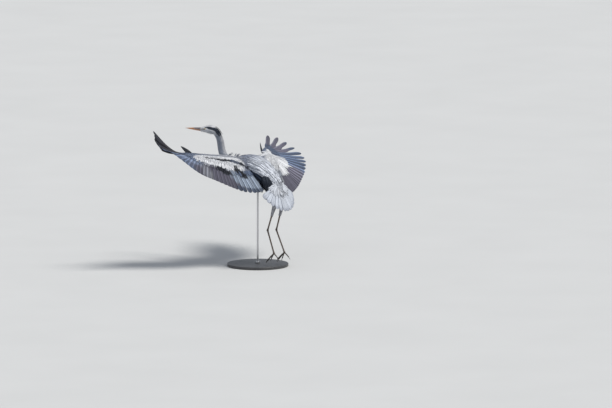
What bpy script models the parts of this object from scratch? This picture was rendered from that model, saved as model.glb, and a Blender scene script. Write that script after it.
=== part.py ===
"""Grey heron, life size, coming in to land, held over a round base by one steel rod.

Metres, +Z up. The bird heads along -Y, its left side is +X, and the origin is the centre of the base's
underside. Flesh and plumage are plain closed solids; every piece is a node of its own, and neighbours
keep a gap of a few tenths of a millimetre.
"""

import math

import bmesh
import bpy
import numpy as np
from mathutils import Vector

# ---------------------------------------------------------------- driving dimensions
GAP = 0.0004  # between neighbouring pieces

# Where the bird's own frame stands over the base.
BIRD_AT = Vector((0.0, 0.050, 0.020))

# Spine of trunk, neck and head, tail end first: place, half width, height above and depth below it.
SPINE = [
    # x, y, z, half width, above, below
    (0.000, 0.146, 0.492, 0.017, 0.008, 0.012),
    (0.000, 0.120, 0.532, 0.036, 0.022, 0.030),
    (0.000, 0.070, 0.569, 0.053, 0.038, 0.050),
    (0.000, 0.010, 0.602, 0.065, 0.051, 0.066),
    (0.000, -0.050, 0.630, 0.070, 0.054, 0.075),
    (0.000, -0.110, 0.650, 0.067, 0.045, 0.073),
    (0.000, -0.165, 0.657, 0.052, 0.034, 0.058),
    (0.001, -0.212, 0.657, 0.038, 0.028, 0.042),
    (0.002, -0.262, 0.655, 0.029, 0.026, 0.032),
    (0.004, -0.310, 0.662, 0.0250, 0.0250, 0.0275),
    (0.007, -0.341, 0.691, 0.0230, 0.0245, 0.0250),
    (0.011, -0.352, 0.732, 0.0220, 0.0235, 0.0240),
    (0.020, -0.353, 0.775, 0.0210, 0.0230, 0.0230),
    (0.034, -0.356, 0.811, 0.0190, 0.0225, 0.0225),
    (0.054, -0.368, 0.843, 0.0190, 0.0265, 0.0265),
    (0.071, -0.391, 0.853, 0.0205, 0.0315, 0.0285),
    (0.080, -0.419, 0.8545, 0.0185, 0.0240, 0.0230),
    (0.0915, -0.458, 0.8530, 0.0105, 0.0125, 0.0150),
]
NECK_CUTS = (7.0, 9.6, 12.0, 14.2)  # spine stations where trunk, three neck lengths and head meet
BODY_SIDES = 16

BILL_TIP = Vector((0.123, -0.568, 0.8560))
BILL_BASE_STATION = 17.0
BILL_WIDTH, BILL_HEIGHT = 0.0185, 0.0240
BILL_STEPS = 7
EYE_RADIUS = 0.0058
EYE_STATION = 16.1
EYE_OUT, EYE_UP = 0.0128, 0.0045

# Wing bones, left and right: shoulder, elbow, wrist, end of the hand.
BONES = {
    "left": ((0.040, -0.105, 0.666), (0.213, -0.148, 0.689), (0.333, -0.310, 0.724), (0.461, -0.319, 0.744)),
    "right": ((-0.040, -0.105, 0.666), (-0.219, -0.116, 0.655), (-0.334, -0.285, 0.673), (-0.439, -0.361, 0.684)),
}
BONE_SHARES = (0.0, 0.30, 0.62, 1.0)  # the shoulder, elbow, wrist and hand end along the wing

# Flight feathers at stations along the wing: sweep ahead of straight out, rise above level, length, lift of the tip.
FAN_SHARES = (0.05, 0.14, 0.23, 0.32, 0.42, 0.52, 0.63, 0.72, 0.80, 0.88, 0.95, 1.0)
FANS = {
    "left": (
        (-86, -84, -70, -59.5, -45.5, -37.5, -27, -19, -10.5, -7, -6.5, -5),
        (-45, -48.5, -46.5, -39.5, -28, -19, -3.5, 4.5, 6.5, 9, 12, 15.5),
        (0.260, 0.265, 0.265, 0.264, 0.267, 0.277, 0.286, 0.292, 0.307, 0.328, 0.316, 0.306),
        (0.003, 0.004, 0.006, 0.006, 0.006, 0.008, 0.012, 0.018, 0.032, 0.066, 0.087, 0.102),
    ),
    "right": (
        (-94, -95.5, -88, -81, -70, -59, -54, -42, -20, 8, 27.5, 41),
        (-58, -60, -60, -58, -52, -42, -28, -21, -15.5, -8, -1.5, 1),
        (0.260, 0.265, 0.265, 0.268, 0.280, 0.298, 0.308, 0.306, 0.316, 0.345, 0.349, 0.310),
        (0.002, 0.002, 0.003, 0.005, 0.006, 0.008, 0.010, 0.014, 0.020, 0.030, 0.040, 0.040),
    ),
}
TERTIALS, SECONDARIES, PRIMARIES = 6, 14, 10
TERTIAL_START, SECONDARY_START, PRIMARY_START, PRIMARY_END = 0.078, 0.30, 0.635, 0.985
COVERT_SHARE = 0.30  # how much of each flight feather the arm's padding of coverts hides
FEATHER_THICK = 0.0012
REAR_SHARES = (0.0, 0.10, 0.20, 0.30, 0.41, 0.52, 0.62)  # where the padding's rear edge is set by that share
HAND_REAR = 0.006  # rear edge behind the bone at the hand's end
HAND_ROUND = 0.35  # how full the hand's rear edge is
HAND_PLANE_SHARE = 0.72  # the feather that sets the plane of the hand's end
ROOT_GAP = 0.0012  # between the padding and the feathers behind it
FEATHER_GAP = 0.0015  # share of the wing left free between two groups of feathers
HAND_END = 0.975
END_CLEARANCE = 0.0008  # share of the wing left free past the end of a length of the arm
ARM_NIP = 0.0010  # share of the wing left free each side of the elbow and the wrist
ARM_THICK = (0.046, 0.034, 0.022, 0.006)  # at the shoulder, elbow, wrist and hand end
REAR_THICK = 0.0036
EDGE_AHEAD = (0.030, 0.066, 0.016, 0.005)  # leading edge ahead of the bones, at the same four places
EDGE_SLOPE = 0.35  # share of the fan's slope that the padding ahead of the bones keeps

# How far out past the slot between two feathers, and how wide a feather is there.
FINGER_WIDTHS = ((0.45, 0.78), (0.82, 0.70), (1.0, 0.22))
SCALLOP_WIDTHS = ((0.60, 0.86), (1.0, 0.25))
OUTER_PRIMARIES = 4  # parted deeply, like fingers
FINGER_SLOTS = {"left": 0.76, "right": 0.55}
SCALLOP_SLOTS = {"tertials": 0.92, "secondaries": 0.93, "inner_primaries": 0.86}

# Alulae: way out, ahead and up from the wrist, to the tip.
ALULAS = {"left": (0.088, 0.020, 0.044), "right": (-0.040, 0.036, 0.046)}
ALULA_ROOT, ALULA_WIDE, ALULA_THICK, ALULA_LIFT = 0.645, 0.024, 0.0024, 0.002
ALULA_WIDTHS = ((0.0, 0.45), (0.3, 0.75), (0.7, 1.0), (0.9, 0.75), (1.0, 0.20))
ALULA_PITCH = (0.6, 0.8)  # how far its upper side faces up off the wing, and to the rear

# Cape of long shoulder plumes over the back: stations of the spine it runs between, tail end first, how far it
# wraps round each side, in degrees from the middle of the back, and its thickness.
CAPE_STATIONS = (0.9, 2.0, 3.0, 4.0, 5.0, 6.0, 6.7)
CAPE_WRAP = (22, 62, 84, 96, 100, 92, 70)
CAPE_CLEARANCE = 0.0022  # over the faceted trunk
CAPE_THICK = (0.0020, 0.0060, 0.0085, 0.0100, 0.0100, 0.0075, 0.0020)
CAPE_PARTING = 0.8  # degrees each side of the middle of the back

TAIL_FEATHERS = 12
TAIL_LENGTH = 0.190
TAIL_SPREAD = 70  # each way from the middle
TAIL_DROP = 66  # below level
TAIL_ROLL = 20
TAIL_HOLLOW = 0.030  # how far the outer feathers' tips hang forward of the middle ones'
TAIL_ROOT = Vector((0.0, 0.122, 0.535))
TAIL_ROOT_HALF = 0.020  # half the width that the roots stand across
TAIL_THICK = 0.0016

# Legs: hip, knee, ankle and ball of the foot.
LEGS = {
    "left": ((0.042, 0.062, 0.560), (0.028, 0.131, 0.430), (0.033, 0.0625, 0.228), (0.030, 0.114, 0.081)),
    "right": ((-0.046, 0.062, 0.560), (-0.060, 0.120, 0.423), (-0.052, 0.065, 0.222), (-0.054, 0.132, 0.080)),
}
FEATHERED_SHARE = 0.50  # of the tibia
THIGH_RADII = (0.033, 0.034, 0.023, 0.0165, 0.0115, 0.0075)
SHANK_RADII = (0.0056, 0.0050, 0.0052, 0.0078)
TARSUS_RADII = (0.0078, 0.0052, 0.0048, 0.0062)
FOOT_RADII = (0.0058, 0.0072, 0.0035)
FOOT_ABOVE, FOOT_BELOW = 0.008, 0.005  # along the tarsus from the ball of the foot
# Toes: turn out from straight ahead, drop below level, length, radius at the root.
TOES = {
    "middle": (2, 42, 0.074, 0.0044),
    "inner": (-26, 40, 0.060, 0.0040),
    "outer": (30, 43, 0.064, 0.0040),
    "hind": (176, 34, 0.044, 0.0040),
}
TOE_CURL = 0.006  # drop of the tip below the toe's own line
TOE_TAPER = (1.0, 0.85, 0.8, 0.6)
CLAW_LENGTH, CLAW_RADIUS, CLAW_BEND = 0.015, 0.0022, 0.005

CREST_START = 14.3
CREST_PLUMES = ((0.005, 0.068), (-0.005, 0.058))  # side and length of the two long nape plumes
CREST_HALF_WIDTH, CREST_HALF_THICK = 0.0030, 0.0017
CREST_CLEARANCE = 0.0024  # of a plume's middle from the nape

BASE_RADIUS, BASE_THICK, BASE_EDGE = 0.200, 0.018, 0.003
ROD_RADIUS = 0.006
ROD_TOP = 0.610
COLLAR_RADIUS, COLLAR_HEIGHT, COLLAR_EDGE = 0.016, 0.014, 0.002


# ---------------------------------------------------------------- scene and small tools
for old in list(bpy.data.objects):
    bpy.data.objects.remove(old, do_unlink=True)
heron = bpy.data.collections.new("grey_heron")
cutters = bpy.data.collections.new("cutters")
for group in (heron, cutters):
    bpy.context.scene.collection.children.link(group)


def material(name, colour, roughness, metallic=0.0):
    made = bpy.data.materials.new(name)
    made.use_nodes = True
    shader = made.node_tree.nodes["Principled BSDF"]
    shader.inputs["Base Color"].default_value = (*colour, 1.0)
    shader.inputs["Roughness"].default_value = roughness
    shader.inputs["Metallic"].default_value = metallic
    return made


GREY_PLUMAGE = material("grey_plumage", (0.42, 0.44, 0.50), 0.75)
WHITE_PLUMAGE = material("white_plumage", (0.78, 0.78, 0.80), 0.75)
SLATE_QUILLS = material("slate_quills", (0.12, 0.13, 0.17), 0.60)
TAIL_GREY = material("tail_grey", (0.55, 0.57, 0.62), 0.70)
BLACK_PLUMES = material("black_plumes", (0.02, 0.02, 0.03), 0.60)
HORN_ORANGE = material("horn_orange", (0.62, 0.25, 0.10), 0.45)
EYE_YELLOW = material("eye_yellow", (0.85, 0.62, 0.10), 0.15)
LEG_BROWN = material("leg_brown", (0.16, 0.10, 0.08), 0.60)
CLAW_BLACK = material("claw_black", (0.03, 0.025, 0.02), 0.40)
BASE_BLACK = material("stand_black", (0.05, 0.05, 0.055), 0.50)
ROD_STEEL = material("stand_steel", (0.55, 0.55, 0.56), 0.30, 1.0)


def smooth_curve(stations, values):
    """A function that runs smoothly through values at the rising stations, which need not be even."""
    at = np.asarray(stations, float)
    rows = np.asarray(values, float)
    slopes = np.gradient(rows, at, axis=0)

    def value(where):
        k = int(np.clip(np.searchsorted(at, where) - 1, 0, len(at) - 2))
        span = at[k + 1] - at[k]
        u = (where - at[k]) / span
        return (
            rows[k] * (1 + 2 * u) * (1 - u) ** 2
            + slopes[k] * span * u * (1 - u) ** 2
            + rows[k + 1] * u * u * (3 - 2 * u)
            + slopes[k + 1] * span * u * u * (u - 1)
        )

    return value


def unit(v):
    return v / np.linalg.norm(v)


def place(obj, look, group=heron):
    if look is not None:
        obj.data.materials.clear()
        obj.data.materials.append(look)
    for owner in list(obj.users_collection):
        owner.objects.unlink(obj)
    group.objects.link(obj)
    if group is cutters:
        obj.hide_render = True
        obj.display_type = "WIRE"
    return obj


def mesh_object(name, points, faces, look, group=heron, smooth=True):
    mesh = bpy.data.meshes.new(name)
    mesh.from_pydata([tuple(p) for p in points], [], faces)
    form = bmesh.new()
    form.from_mesh(mesh)
    bmesh.ops.recalc_face_normals(form, faces=form.faces)
    form.to_mesh(mesh)
    form.free()
    if smooth:
        mesh.shade_smooth()
        mesh.set_sharp_from_angle(angle=math.radians(40))
    return place(bpy.data.objects.new(name, mesh), look, group)


def loft(name, rings, look, group=heron, laddered=False):
    """A closed solid through rings of points, which all have the same count. Laddered ends join the first half of
    the ring to the second across it, for bent rings that run out along one side and back along the other."""
    count = len(rings[0])
    points = [p for ring in rings for p in ring]
    faces = []
    for r in range(len(rings) - 1):
        for i in range(count):
            j = (i + 1) % count
            faces.append((r * count + i, r * count + j, (r + 1) * count + j, (r + 1) * count + i))
    last = (len(rings) - 1) * count
    if laddered:
        for i in range(count // 2 - 1):
            rung = (i, i + 1, count - 2 - i, count - 1 - i)
            faces += [rung[::-1], tuple(last + k for k in rung)]
    else:
        faces += [tuple(range(count))[::-1], tuple(range(last, last + count))]
    return mesh_object(name, points, faces, look, group)


def cut(obj, cutter):
    """Takes the cutter's shape out of obj."""
    step = obj.modifiers.new("clear of " + cutter.name, "BOOLEAN")
    step.operation = "DIFFERENCE"
    step.solver = "EXACT"
    step.object = cutter


# ---------------------------------------------------------------- trunk, neck and head
spine = smooth_curve(range(len(SPINE)), SPINE)


def body_point(station, turn, grow=0.0):
    """A point of the body's skin, turn degrees round from its left side over its back, moved out by grow."""
    here = spine(station)
    ahead = unit(spine(station + 0.02)[:3] - spine(station - 0.02)[:3])
    left = unit(np.array((1.0, 0.0, 0.0)) - ahead * ahead[0])
    top = np.cross(ahead, left)
    half, above, below = here[3:] + grow
    turn = math.radians(turn)
    rise = above if math.sin(turn) > 0 else below
    return here[:3] + left * half * math.cos(turn) + top * rise * math.sin(turn)


def body_ring(station, grow=0.0):
    """One section of the body square to the spine, wider by grow."""
    return [body_point(station, 360 * k / BODY_SIDES, grow) for k in range(BODY_SIDES)]


def body_length(name, start, end, steps, look):
    return loft(name, [body_ring(s) for s in np.linspace(start, end, steps)], look)


def body_cutter(name, start, end, steps):
    """The same length a little larger, to clear the pieces that stand on it."""
    stations = np.linspace(start, end, steps)
    rings = [body_ring(s, 1.5 * GAP) for s in stations]
    ahead = unit(spine(end)[:3] - spine(end - 0.05)[:3])
    behind = unit(spine(start)[:3] - spine(start + 0.05)[:3])
    rings[0] = [p + behind * 1.5 * GAP for p in rings[0]]
    rings[-1] = [p + ahead * 1.5 * GAP for p in rings[-1]]
    return loft(name, rings, None, cutters)


def gap_in_stations(station):
    """Half of GAP, as a share of a spine station."""
    return GAP / 2 / np.linalg.norm(spine(station + 0.5)[:3] - spine(station - 0.5)[:3])


slack = [gap_in_stations(s) for s in NECK_CUTS]
lengths = {
    "trunk": (0.0, NECK_CUTS[0] - slack[0], 14, GREY_PLUMAGE),
    "neck_lower": (NECK_CUTS[0] + slack[0], NECK_CUTS[1] - slack[1], 7, GREY_PLUMAGE),
    "neck_middle": (NECK_CUTS[1] + slack[1], NECK_CUTS[2] - slack[2], 8, GREY_PLUMAGE),
    "neck_upper": (NECK_CUTS[2] + slack[2], NECK_CUTS[3] - slack[3], 6, GREY_PLUMAGE),
    "head": (NECK_CUTS[3] + slack[3], BILL_BASE_STATION, 8, WHITE_PLUMAGE),
}
for name, (start, end, steps, look) in lengths.items():
    body_length(name, start, end, steps, look)
trunk, head = bpy.data.objects["trunk"], bpy.data.objects["head"]
trunk_cutter, neck_cutter, head_cutter = (
    body_cutter(name + "_cutter", *lengths[name][:3]) for name in ("trunk", "neck_upper", "head")
)


# ---------------------------------------------------------------- bill and eyes
bill_base = Vector(spine(BILL_BASE_STATION)[:3])
bill_ahead = (BILL_TIP - bill_base).normalized()
bill_left = bill_ahead.cross(Vector((0, 0, -1))).normalized()
bill_top = bill_ahead.cross(bill_left)


def bill_half(name, sign):
    """Upper (sign 1) or lower (sign -1) half of the bill, from inside the face out to the tip."""
    rings = []
    for step in range(BILL_STEPS):
        share = step / (BILL_STEPS - 1)
        taper = max(1 - share**1.25, 0.035)
        centre = bill_base.lerp(BILL_TIP, share)
        wide, high = BILL_WIDTH / 2 * taper, BILL_HEIGHT / 2 * taper
        ring = []
        for k in range(9):
            turn = math.pi * k / 8
            lift = GAP / 2 + high * math.sin(turn)
            ring.append(centre + bill_left * wide * math.cos(turn) + bill_top * sign * lift)
        rings.append(ring)
    return loft(name, rings, HORN_ORANGE)


for half, sign in (("bill_upper", 1), ("bill_lower", -1)):
    cut(bill_half(half, sign), head_cutter)

eye_level = spine(EYE_STATION)
eye_ahead = Vector(unit(spine(EYE_STATION + 0.02)[:3] - spine(EYE_STATION - 0.02)[:3]))
eye_left = (Vector((1, 0, 0)) - eye_ahead * eye_ahead.x).normalized()
eye_top = eye_ahead.cross(eye_left)
for side, sign in (("left", 1), ("right", -1)):
    middle = Vector(eye_level[:3]) + eye_left * sign * EYE_OUT + eye_top * EYE_UP
    for name, radius, look, group in (
        ("eye_" + side, EYE_RADIUS, EYE_YELLOW, heron),
        ("eye_socket_" + side, EYE_RADIUS + GAP, None, cutters),
    ):
        bpy.ops.mesh.primitive_uv_sphere_add(segments=12, ring_count=8, radius=radius, location=middle)
        ball = bpy.context.object
        ball.name = name
        ball.data.shade_smooth()
        place(ball, look, group)
    cut(head, bpy.data.objects["eye_socket_" + side])


# ---------------------------------------------------------------- crest: two nape plumes
def crest_plume(number, side, length):
    """A slim plume lying along the back of the neck from the nape."""
    rings = []
    for k in range(7):
        share = k / 6
        station = CREST_START - length / 0.045 * share
        here = spine(station)
        ahead = unit(spine(station + 0.02)[:3] - spine(station - 0.02)[:3])
        left = unit(np.array((1.0, 0.0, 0.0)) - ahead * ahead[0])
        top = np.cross(ahead, left)
        centre = here[:3] + top * (here[4] + CREST_CLEARANCE + 0.006 * share) + left * side * (1 + share)
        thick, wide = CREST_HALF_THICK * (1 - 0.7 * share), CREST_HALF_WIDTH * (1 - 0.75 * share)
        rings.append([
            centre + left * wide * math.cos(t) + top * thick * math.sin(t)
            for t in np.linspace(0, 2 * math.pi, 8, endpoint=False)
        ])
    plume = loft(f"crest_plume_{number}", rings, BLACK_PLUMES)
    cut(plume, head_cutter)
    cut(plume, neck_cutter)


for number, (side, length) in enumerate(CREST_PLUMES, 1):
    crest_plume(number, side, length)


# ---------------------------------------------------------------- wings
def feather_lines():
    """Where along the wing the flight feathers' edges and middles lie."""
    middles = np.concatenate([
        np.linspace(TERTIAL_START, SECONDARY_START, TERTIALS, endpoint=False),
        np.linspace(SECONDARY_START, PRIMARY_START, SECONDARIES, endpoint=False),
        np.linspace(PRIMARY_START, PRIMARY_END, PRIMARIES),
    ])
    inner = (middles[1:] + middles[:-1]) / 2
    edges = np.concatenate([[2 * middles[0] - inner[0]], inner, [2 * middles[-1] - inner[-1]]])
    return edges, middles


class Wing:
    """The lie of one wing: bones, leading edge and the fan of flight feathers."""

    def __init__(self, side):
        self.side = side
        self.out = 1.0 if side == "left" else -1.0
        self.bone = smooth_curve(BONE_SHARES, BONES[side])
        self.fan = smooth_curve(FAN_SHARES, np.array(FANS[side]).T)
        self.thick = smooth_curve(BONE_SHARES, ARM_THICK)
        self.edge = smooth_curve(
            BONE_SHARES, [self.bone(s) - self.rearward(s) * a for s, a in zip(BONE_SHARES, EDGE_AHEAD)]
        )
        behind = [self.bone(s) + self.feather(r, COVERT_SHARE) - self.bone(r)
                  for s, r in ((s, max(s, FAN_SHARES[0])) for s in REAR_SHARES)]
        self.arm_rear = smooth_curve(REAR_SHARES, behind)

    def rear(self, share):
        """The rear edge of the padding: behind the arm as far as the coverts reach, then in to the hand's end."""
        wrist = BONE_SHARES[2]
        if share <= wrist:
            return self.arm_rear(share)
        start, end = self.arm_rear(wrist), self.bone(1.0) + self.rearward(1.0) * HAND_REAR
        way = unit(start - self.arm_rear(wrist - 0.02)) * np.linalg.norm(end - start) * HAND_ROUND
        t = (share - wrist) / (1 - wrist)
        return start * (1 - t) ** 2 + (start + way) * 2 * t * (1 - t) + end * t * t

    def direction(self, share):
        """Where a flight feather rooted at this share of the wing points."""
        sweep, rise = np.radians(self.fan(share)[:2])
        level = math.cos(rise)
        return np.array((self.out * math.cos(sweep) * level, -math.sin(sweep) * level, math.sin(rise)))

    def feather(self, share, along):
        """A point on the feather rooted at share; along is 0 at its root and 1 at its tip."""
        _, _, length, lift = self.fan(share)
        point = self.bone(share) + self.direction(share) * length * along
        return point + np.array((0.0, 0.0, lift)) * along**2

    def rearward(self, share):
        """Square to the bones, toward the trailing edge."""
        along_bone = unit(self.bone(min(share + 0.02, 1.0)) - self.bone(max(share - 0.02, 0.0)))
        way = self.direction(min(max(share, FAN_SHARES[0]), HAND_PLANE_SHARE)) * (1.0, 1.0, EDGE_SLOPE)
        return unit(way - along_bone * way.dot(along_bone))

    def middle(self, share, chord):
        """The middle surface of the padded arm: chord is 0 at the leading edge and 1 behind the coverts."""
        front, bone, rear = self.edge(share), self.bone(share), self.rear(share)
        fore = np.linalg.norm(bone - front)
        at = min(max(fore / (fore + np.linalg.norm(rear - bone)), 0.15), 0.6)
        bent = (bone - front * (1 - at) ** 2 - rear * at**2) / (2 * at * (1 - at))
        return front * (1 - chord) ** 2 + bent * 2 * chord * (1 - chord) + rear * chord**2

    def normal(self, share, chord):
        """Up out of the wing's upper side."""
        step = 0.01
        low, high = max(share - step, 0.0), min(share + step, 1.0)
        span = self.middle(high, chord) - self.middle(low, chord)
        back = self.middle(share, min(chord + step, 1.0)) - self.middle(share, max(chord - step, 0.0))
        return unit(np.cross(back, span)) * self.out

    def section(self, share, grow=0.0):
        """A closed aerofoil section of the padded arm at this share of the wing."""
        chords = (0.0, 0.08, 0.25, 0.5, 0.75, 1.0)
        upper, lower = [], []
        for chord in chords:
            fullness = math.sqrt(chord) * (1 - chord) * 1.75
            thick = self.thick(share) * fullness + REAR_THICK * min(1.0, 0.3 + chord)
            lift = self.normal(share, chord)
            point = self.middle(share, chord)
            upper.append(point + lift * (thick * 0.6 + grow))
            lower.append(point - lift * (thick * 0.4 + grow))
        if grow:
            ahead, behind = unit(upper[0] - upper[1]) * grow, unit(upper[-1] - upper[-2]) * grow
            upper[0], lower[0] = upper[0] + ahead, lower[0] + ahead
            upper[-1], lower[-1] = upper[-1] + behind, lower[-1] + behind
        return upper + lower[::-1]


def arm_piece(wing, name, start, end, steps):
    """A length of the padded arm; the slightly larger shape that clears its neighbours goes with the cutters."""
    stations = np.linspace(start, end, steps)
    rings = [wing.section(s) for s in stations]
    piece = loft(f"wing_{wing.side}_{name}", rings, GREY_PLUMAGE, laddered=True)
    stations[0] -= END_CLEARANCE
    stations[-1] += END_CLEARANCE
    rings = [wing.section(s, 1.5 * GAP) for s in stations]
    loft(f"{name}_cutter_{wing.side}", rings, None, cutters, laddered=True)
    return piece


def vane_sheet(wing, name, first, count, slot, tip_width, look):
    """Flight feathers side by side as one sheet, from number first on, parted from slot out to their tips."""
    edges, middles = feather_lines()
    bounds, middles = edges[first:first + count + 1].copy(), middles[first:first + count]
    bounds[0] += FEATHER_GAP * (1 + 1.5 * (bounds[0] > PRIMARY_START))
    bounds[-1] -= FEATHER_GAP * (1 + 1.5 * (bounds[-1] > PRIMARY_START))
    last_joined = 2 if slot < 0.9 else 1
    rows = last_joined + 1 + len(tip_width)

    def joined_point(share, row):
        """A point of the part where the feathers hold together, from just behind the padding out to the slots."""
        rear, out = wing.rear(share), row / last_joined
        start = rear + unit(wing.feather(share, slot) - rear) * ROOT_GAP
        near = np.linalg.norm(start - wing.bone(share)) / wing.fan(share)[2]
        return wing.feather(share, near + (slot - near) * out) + (start - wing.feather(share, near)) * (1 - out)

    points, index = [], {}

    def corner(key, point):
        if key not in index:
            index[key] = len(points)
            points.append(point)
        return index[key]

    faces = []
    for k, share in enumerate(middles):
        grid = []
        for row in range(rows):
            if row <= last_joined:
                left = corner(("edge", k, row), joined_point(bounds[k], row))
                right = corner(("edge", k + 1, row), joined_point(bounds[k + 1], row))
                mid = corner(("mid", k, row), joined_point(share, row))
            else:
                along = slot + (1 - slot) * tip_width[row - last_joined - 1][0]
                centre = wing.feather(share, along)
                base_left = wing.feather(bounds[k], slot) - wing.feather(share, slot)
                base_right = wing.feather(bounds[k + 1], slot) - wing.feather(share, slot)
                narrow = tip_width[row - last_joined - 1][1]
                left = corner(("left", k, row), centre + base_left * narrow)
                right = corner(("right", k, row), centre + base_right * narrow)
                mid = corner(("mid", k, row), centre + (centre - wing.feather(share, along - 0.02)) * 0.3)
            grid.append((left, mid, right))
        for row in range(rows - 1):
            for col in range(2):
                a, b = grid[row][col], grid[row][col + 1]
                c, d = grid[row + 1][col + 1], grid[row + 1][col]
                faces.append((a, b, c, d))
    sheet = mesh_object(name, points, faces, look)
    shell = sheet.modifiers.new("quill thickness", "SOLIDIFY")
    shell.thickness = FEATHER_THICK
    shell.offset = 0.0
    return sheet


def alula(wing):
    """The thumb's stiff little feathers, standing off the wrist's leading edge."""
    way = np.array(ALULAS[wing.side]) * (1, -1, 1)
    root = wing.edge(ALULA_ROOT)
    ahead, rise = unit(way), wing.normal(ALULA_ROOT, 0.1)
    lift = rise * ALULA_PITCH[0] + wing.rearward(ALULA_ROOT) * ALULA_PITCH[1]
    lift = unit(lift - ahead * lift.dot(ahead))
    across = np.cross(lift, ahead)
    rings = []
    for share, wide in ALULA_WIDTHS:
        centre = root + rise * ALULA_LIFT + way * share
        half, thick = ALULA_WIDE / 2 * wide, ALULA_THICK / 2 * (1.6 - share)
        rings.append([centre + across * half * a + lift * thick * b
                      for a, b in ((1, 0), (0.5, 1), (-0.5, 1), (-1, 0), (-0.5, -1), (0.5, -1))])
    return loft(f"wing_{wing.side}_alula", rings, SLATE_QUILLS)


for side in ("left", "right"):
    wing = Wing(side)
    elbow, wrist = BONE_SHARES[1], BONE_SHARES[2]
    cut(arm_piece(wing, "upper_arm", 0.0, elbow - ARM_NIP, 8), trunk_cutter)
    arm_piece(wing, "forearm", elbow + ARM_NIP, wrist - ARM_NIP, 9)
    arm_piece(wing, "hand", wrist + ARM_NIP, HAND_END, 9)
    thumb = alula(wing)
    for neighbour in ("hand", "forearm"):
        cut(thumb, bpy.data.objects[f"{neighbour}_cutter_{side}"])
    inner = TERTIALS + SECONDARIES
    outer = inner + PRIMARIES - OUTER_PRIMARIES
    slots = {**SCALLOP_SLOTS, "outer_primaries": FINGER_SLOTS[side]}
    for name, first, count, widths in (
        ("tertials", 0, TERTIALS, SCALLOP_WIDTHS),
        ("secondaries", TERTIALS, SECONDARIES, SCALLOP_WIDTHS),
        ("inner_primaries", inner, PRIMARIES - OUTER_PRIMARIES, SCALLOP_WIDTHS),
        ("outer_primaries", outer, OUTER_PRIMARIES, FINGER_WIDTHS),
    ):
        look = GREY_PLUMAGE if name == "tertials" else SLATE_QUILLS
        vanes = vane_sheet(wing, f"wing_{side}_{name}", first, count, slots[name], widths, look)
        if name == "tertials":
            cut(vanes, trunk_cutter)


# ---------------------------------------------------------------- shoulder plumes
def cape_half(side, sign):
    """One half of the cape: a shell of plumes that follows the trunk, thickest at its middle."""
    wrap = smooth_curve(CAPE_STATIONS, CAPE_WRAP)
    thick = smooth_curve(CAPE_STATIONS, CAPE_THICK)
    rings = []
    for station in np.linspace(CAPE_STATIONS[0], CAPE_STATIONS[-1], 13):
        inner, outer = [], []
        for k in range(8):
            share = k / 7
            turn = 90 - sign * (CAPE_PARTING + (wrap(station) - CAPE_PARTING) * share)
            puff = thick(station) * (0.35 + 0.65 * math.sin(math.pi * min(0.15 + share, 1.0)) ** 0.7)
            inner.append(body_point(station, turn, CAPE_CLEARANCE))
            outer.append(body_point(station, turn, CAPE_CLEARANCE + puff))
        rings.append(outer + inner[::-1])
    half = loft(f"shoulder_plumes_{side}", rings, WHITE_PLUMAGE, laddered=True)
    cut(half, bpy.data.objects[f"upper_arm_cutter_{side}"])


for side, sign in (("left", 1), ("right", -1)):
    cape_half(side, sign)


# ---------------------------------------------------------------- tail
def tail_feather_point(turn, along):
    """A point on the tail fan: turn in degrees left of the middle, along from 0 at the root to 1."""
    drop, roll = math.radians(TAIL_DROP), math.radians(TAIL_ROLL)
    back = Vector((0.0, math.cos(drop), -math.sin(drop)))
    left = Vector((math.cos(roll), 0.0, math.sin(roll)))
    left = (left - back * left.dot(back)).normalized()
    angle = math.radians(turn)
    length = TAIL_LENGTH * (1 - 0.07 * (abs(turn) / TAIL_SPREAD) ** 2)
    root = TAIL_ROOT + left * TAIL_ROOT_HALF * turn / TAIL_SPREAD
    hollow = back.cross(left) * TAIL_HOLLOW * (along * turn / TAIL_SPREAD) ** 2
    return root + (back * math.cos(angle) + left * math.sin(angle)) * length * along + hollow


def tail_fan():
    turns = np.linspace(-TAIL_SPREAD, TAIL_SPREAD, 2 * TAIL_FEATHERS + 1)
    alongs = (0.0, 0.35, 0.70, 0.90)
    tip = {0: 0.90, 1: 1.0}
    points, faces = [], []
    for turn in turns:
        points += [tail_feather_point(turn, a) for a in alongs]
    for k in range(len(turns) - 1):
        for row in range(len(alongs) - 1):
            a, b = k * 4 + row, (k + 1) * 4 + row
            faces.append((a, b, b + 1, a + 1))
    for k in range(TAIL_FEATHERS):
        first, last = points[(2 * k) * 4 + 3], points[(2 * k + 2) * 4 + 3]
        centre = tail_feather_point(turns[2 * k + 1], 1.0)
        base = len(points)
        points += [first.lerp(centre, 0.62), centre, last.lerp(centre, 0.62)]
        left, mid, right = (2 * k) * 4 + 3, (2 * k + 1) * 4 + 3, (2 * k + 2) * 4 + 3
        faces += [(left, mid, base + 1, base), (mid, right, base + 2, base + 1)]
    fan = mesh_object("tail", points, faces, TAIL_GREY)
    shell = fan.modifiers.new("quill thickness", "SOLIDIFY")
    shell.thickness = TAIL_THICK
    shell.offset = 0.0
    cut(fan, trunk_cutter)


tail_fan()


# ---------------------------------------------------------------- legs and feet
def round_loft(name, points, radii, look, group=heron, sides=10):
    """A closed round solid along points, with a radius at each."""
    line = [np.array(p, float) for p in points]
    rings = []
    for k, (point, radius) in enumerate(zip(line, radii)):
        ahead = unit(line[min(k + 1, len(line) - 1)] - line[max(k - 1, 0)])
        left = unit(np.cross(ahead, (0.0, 0.6, 0.8) if abs(ahead[2]) < 0.9 else (0.0, 1.0, 0.0)))
        top = np.cross(left, ahead)
        rings.append([
            point + (left * math.cos(t) + top * math.sin(t)) * radius
            for t in np.linspace(0, 2 * math.pi, sides, endpoint=False)
        ])
    return loft(name, rings, look, group)


def toe_way(turn, drop):
    out, down = math.radians(turn), math.radians(drop)
    return Vector((math.sin(out) * math.cos(down), -math.cos(out) * math.cos(down), -math.sin(down)))


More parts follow.
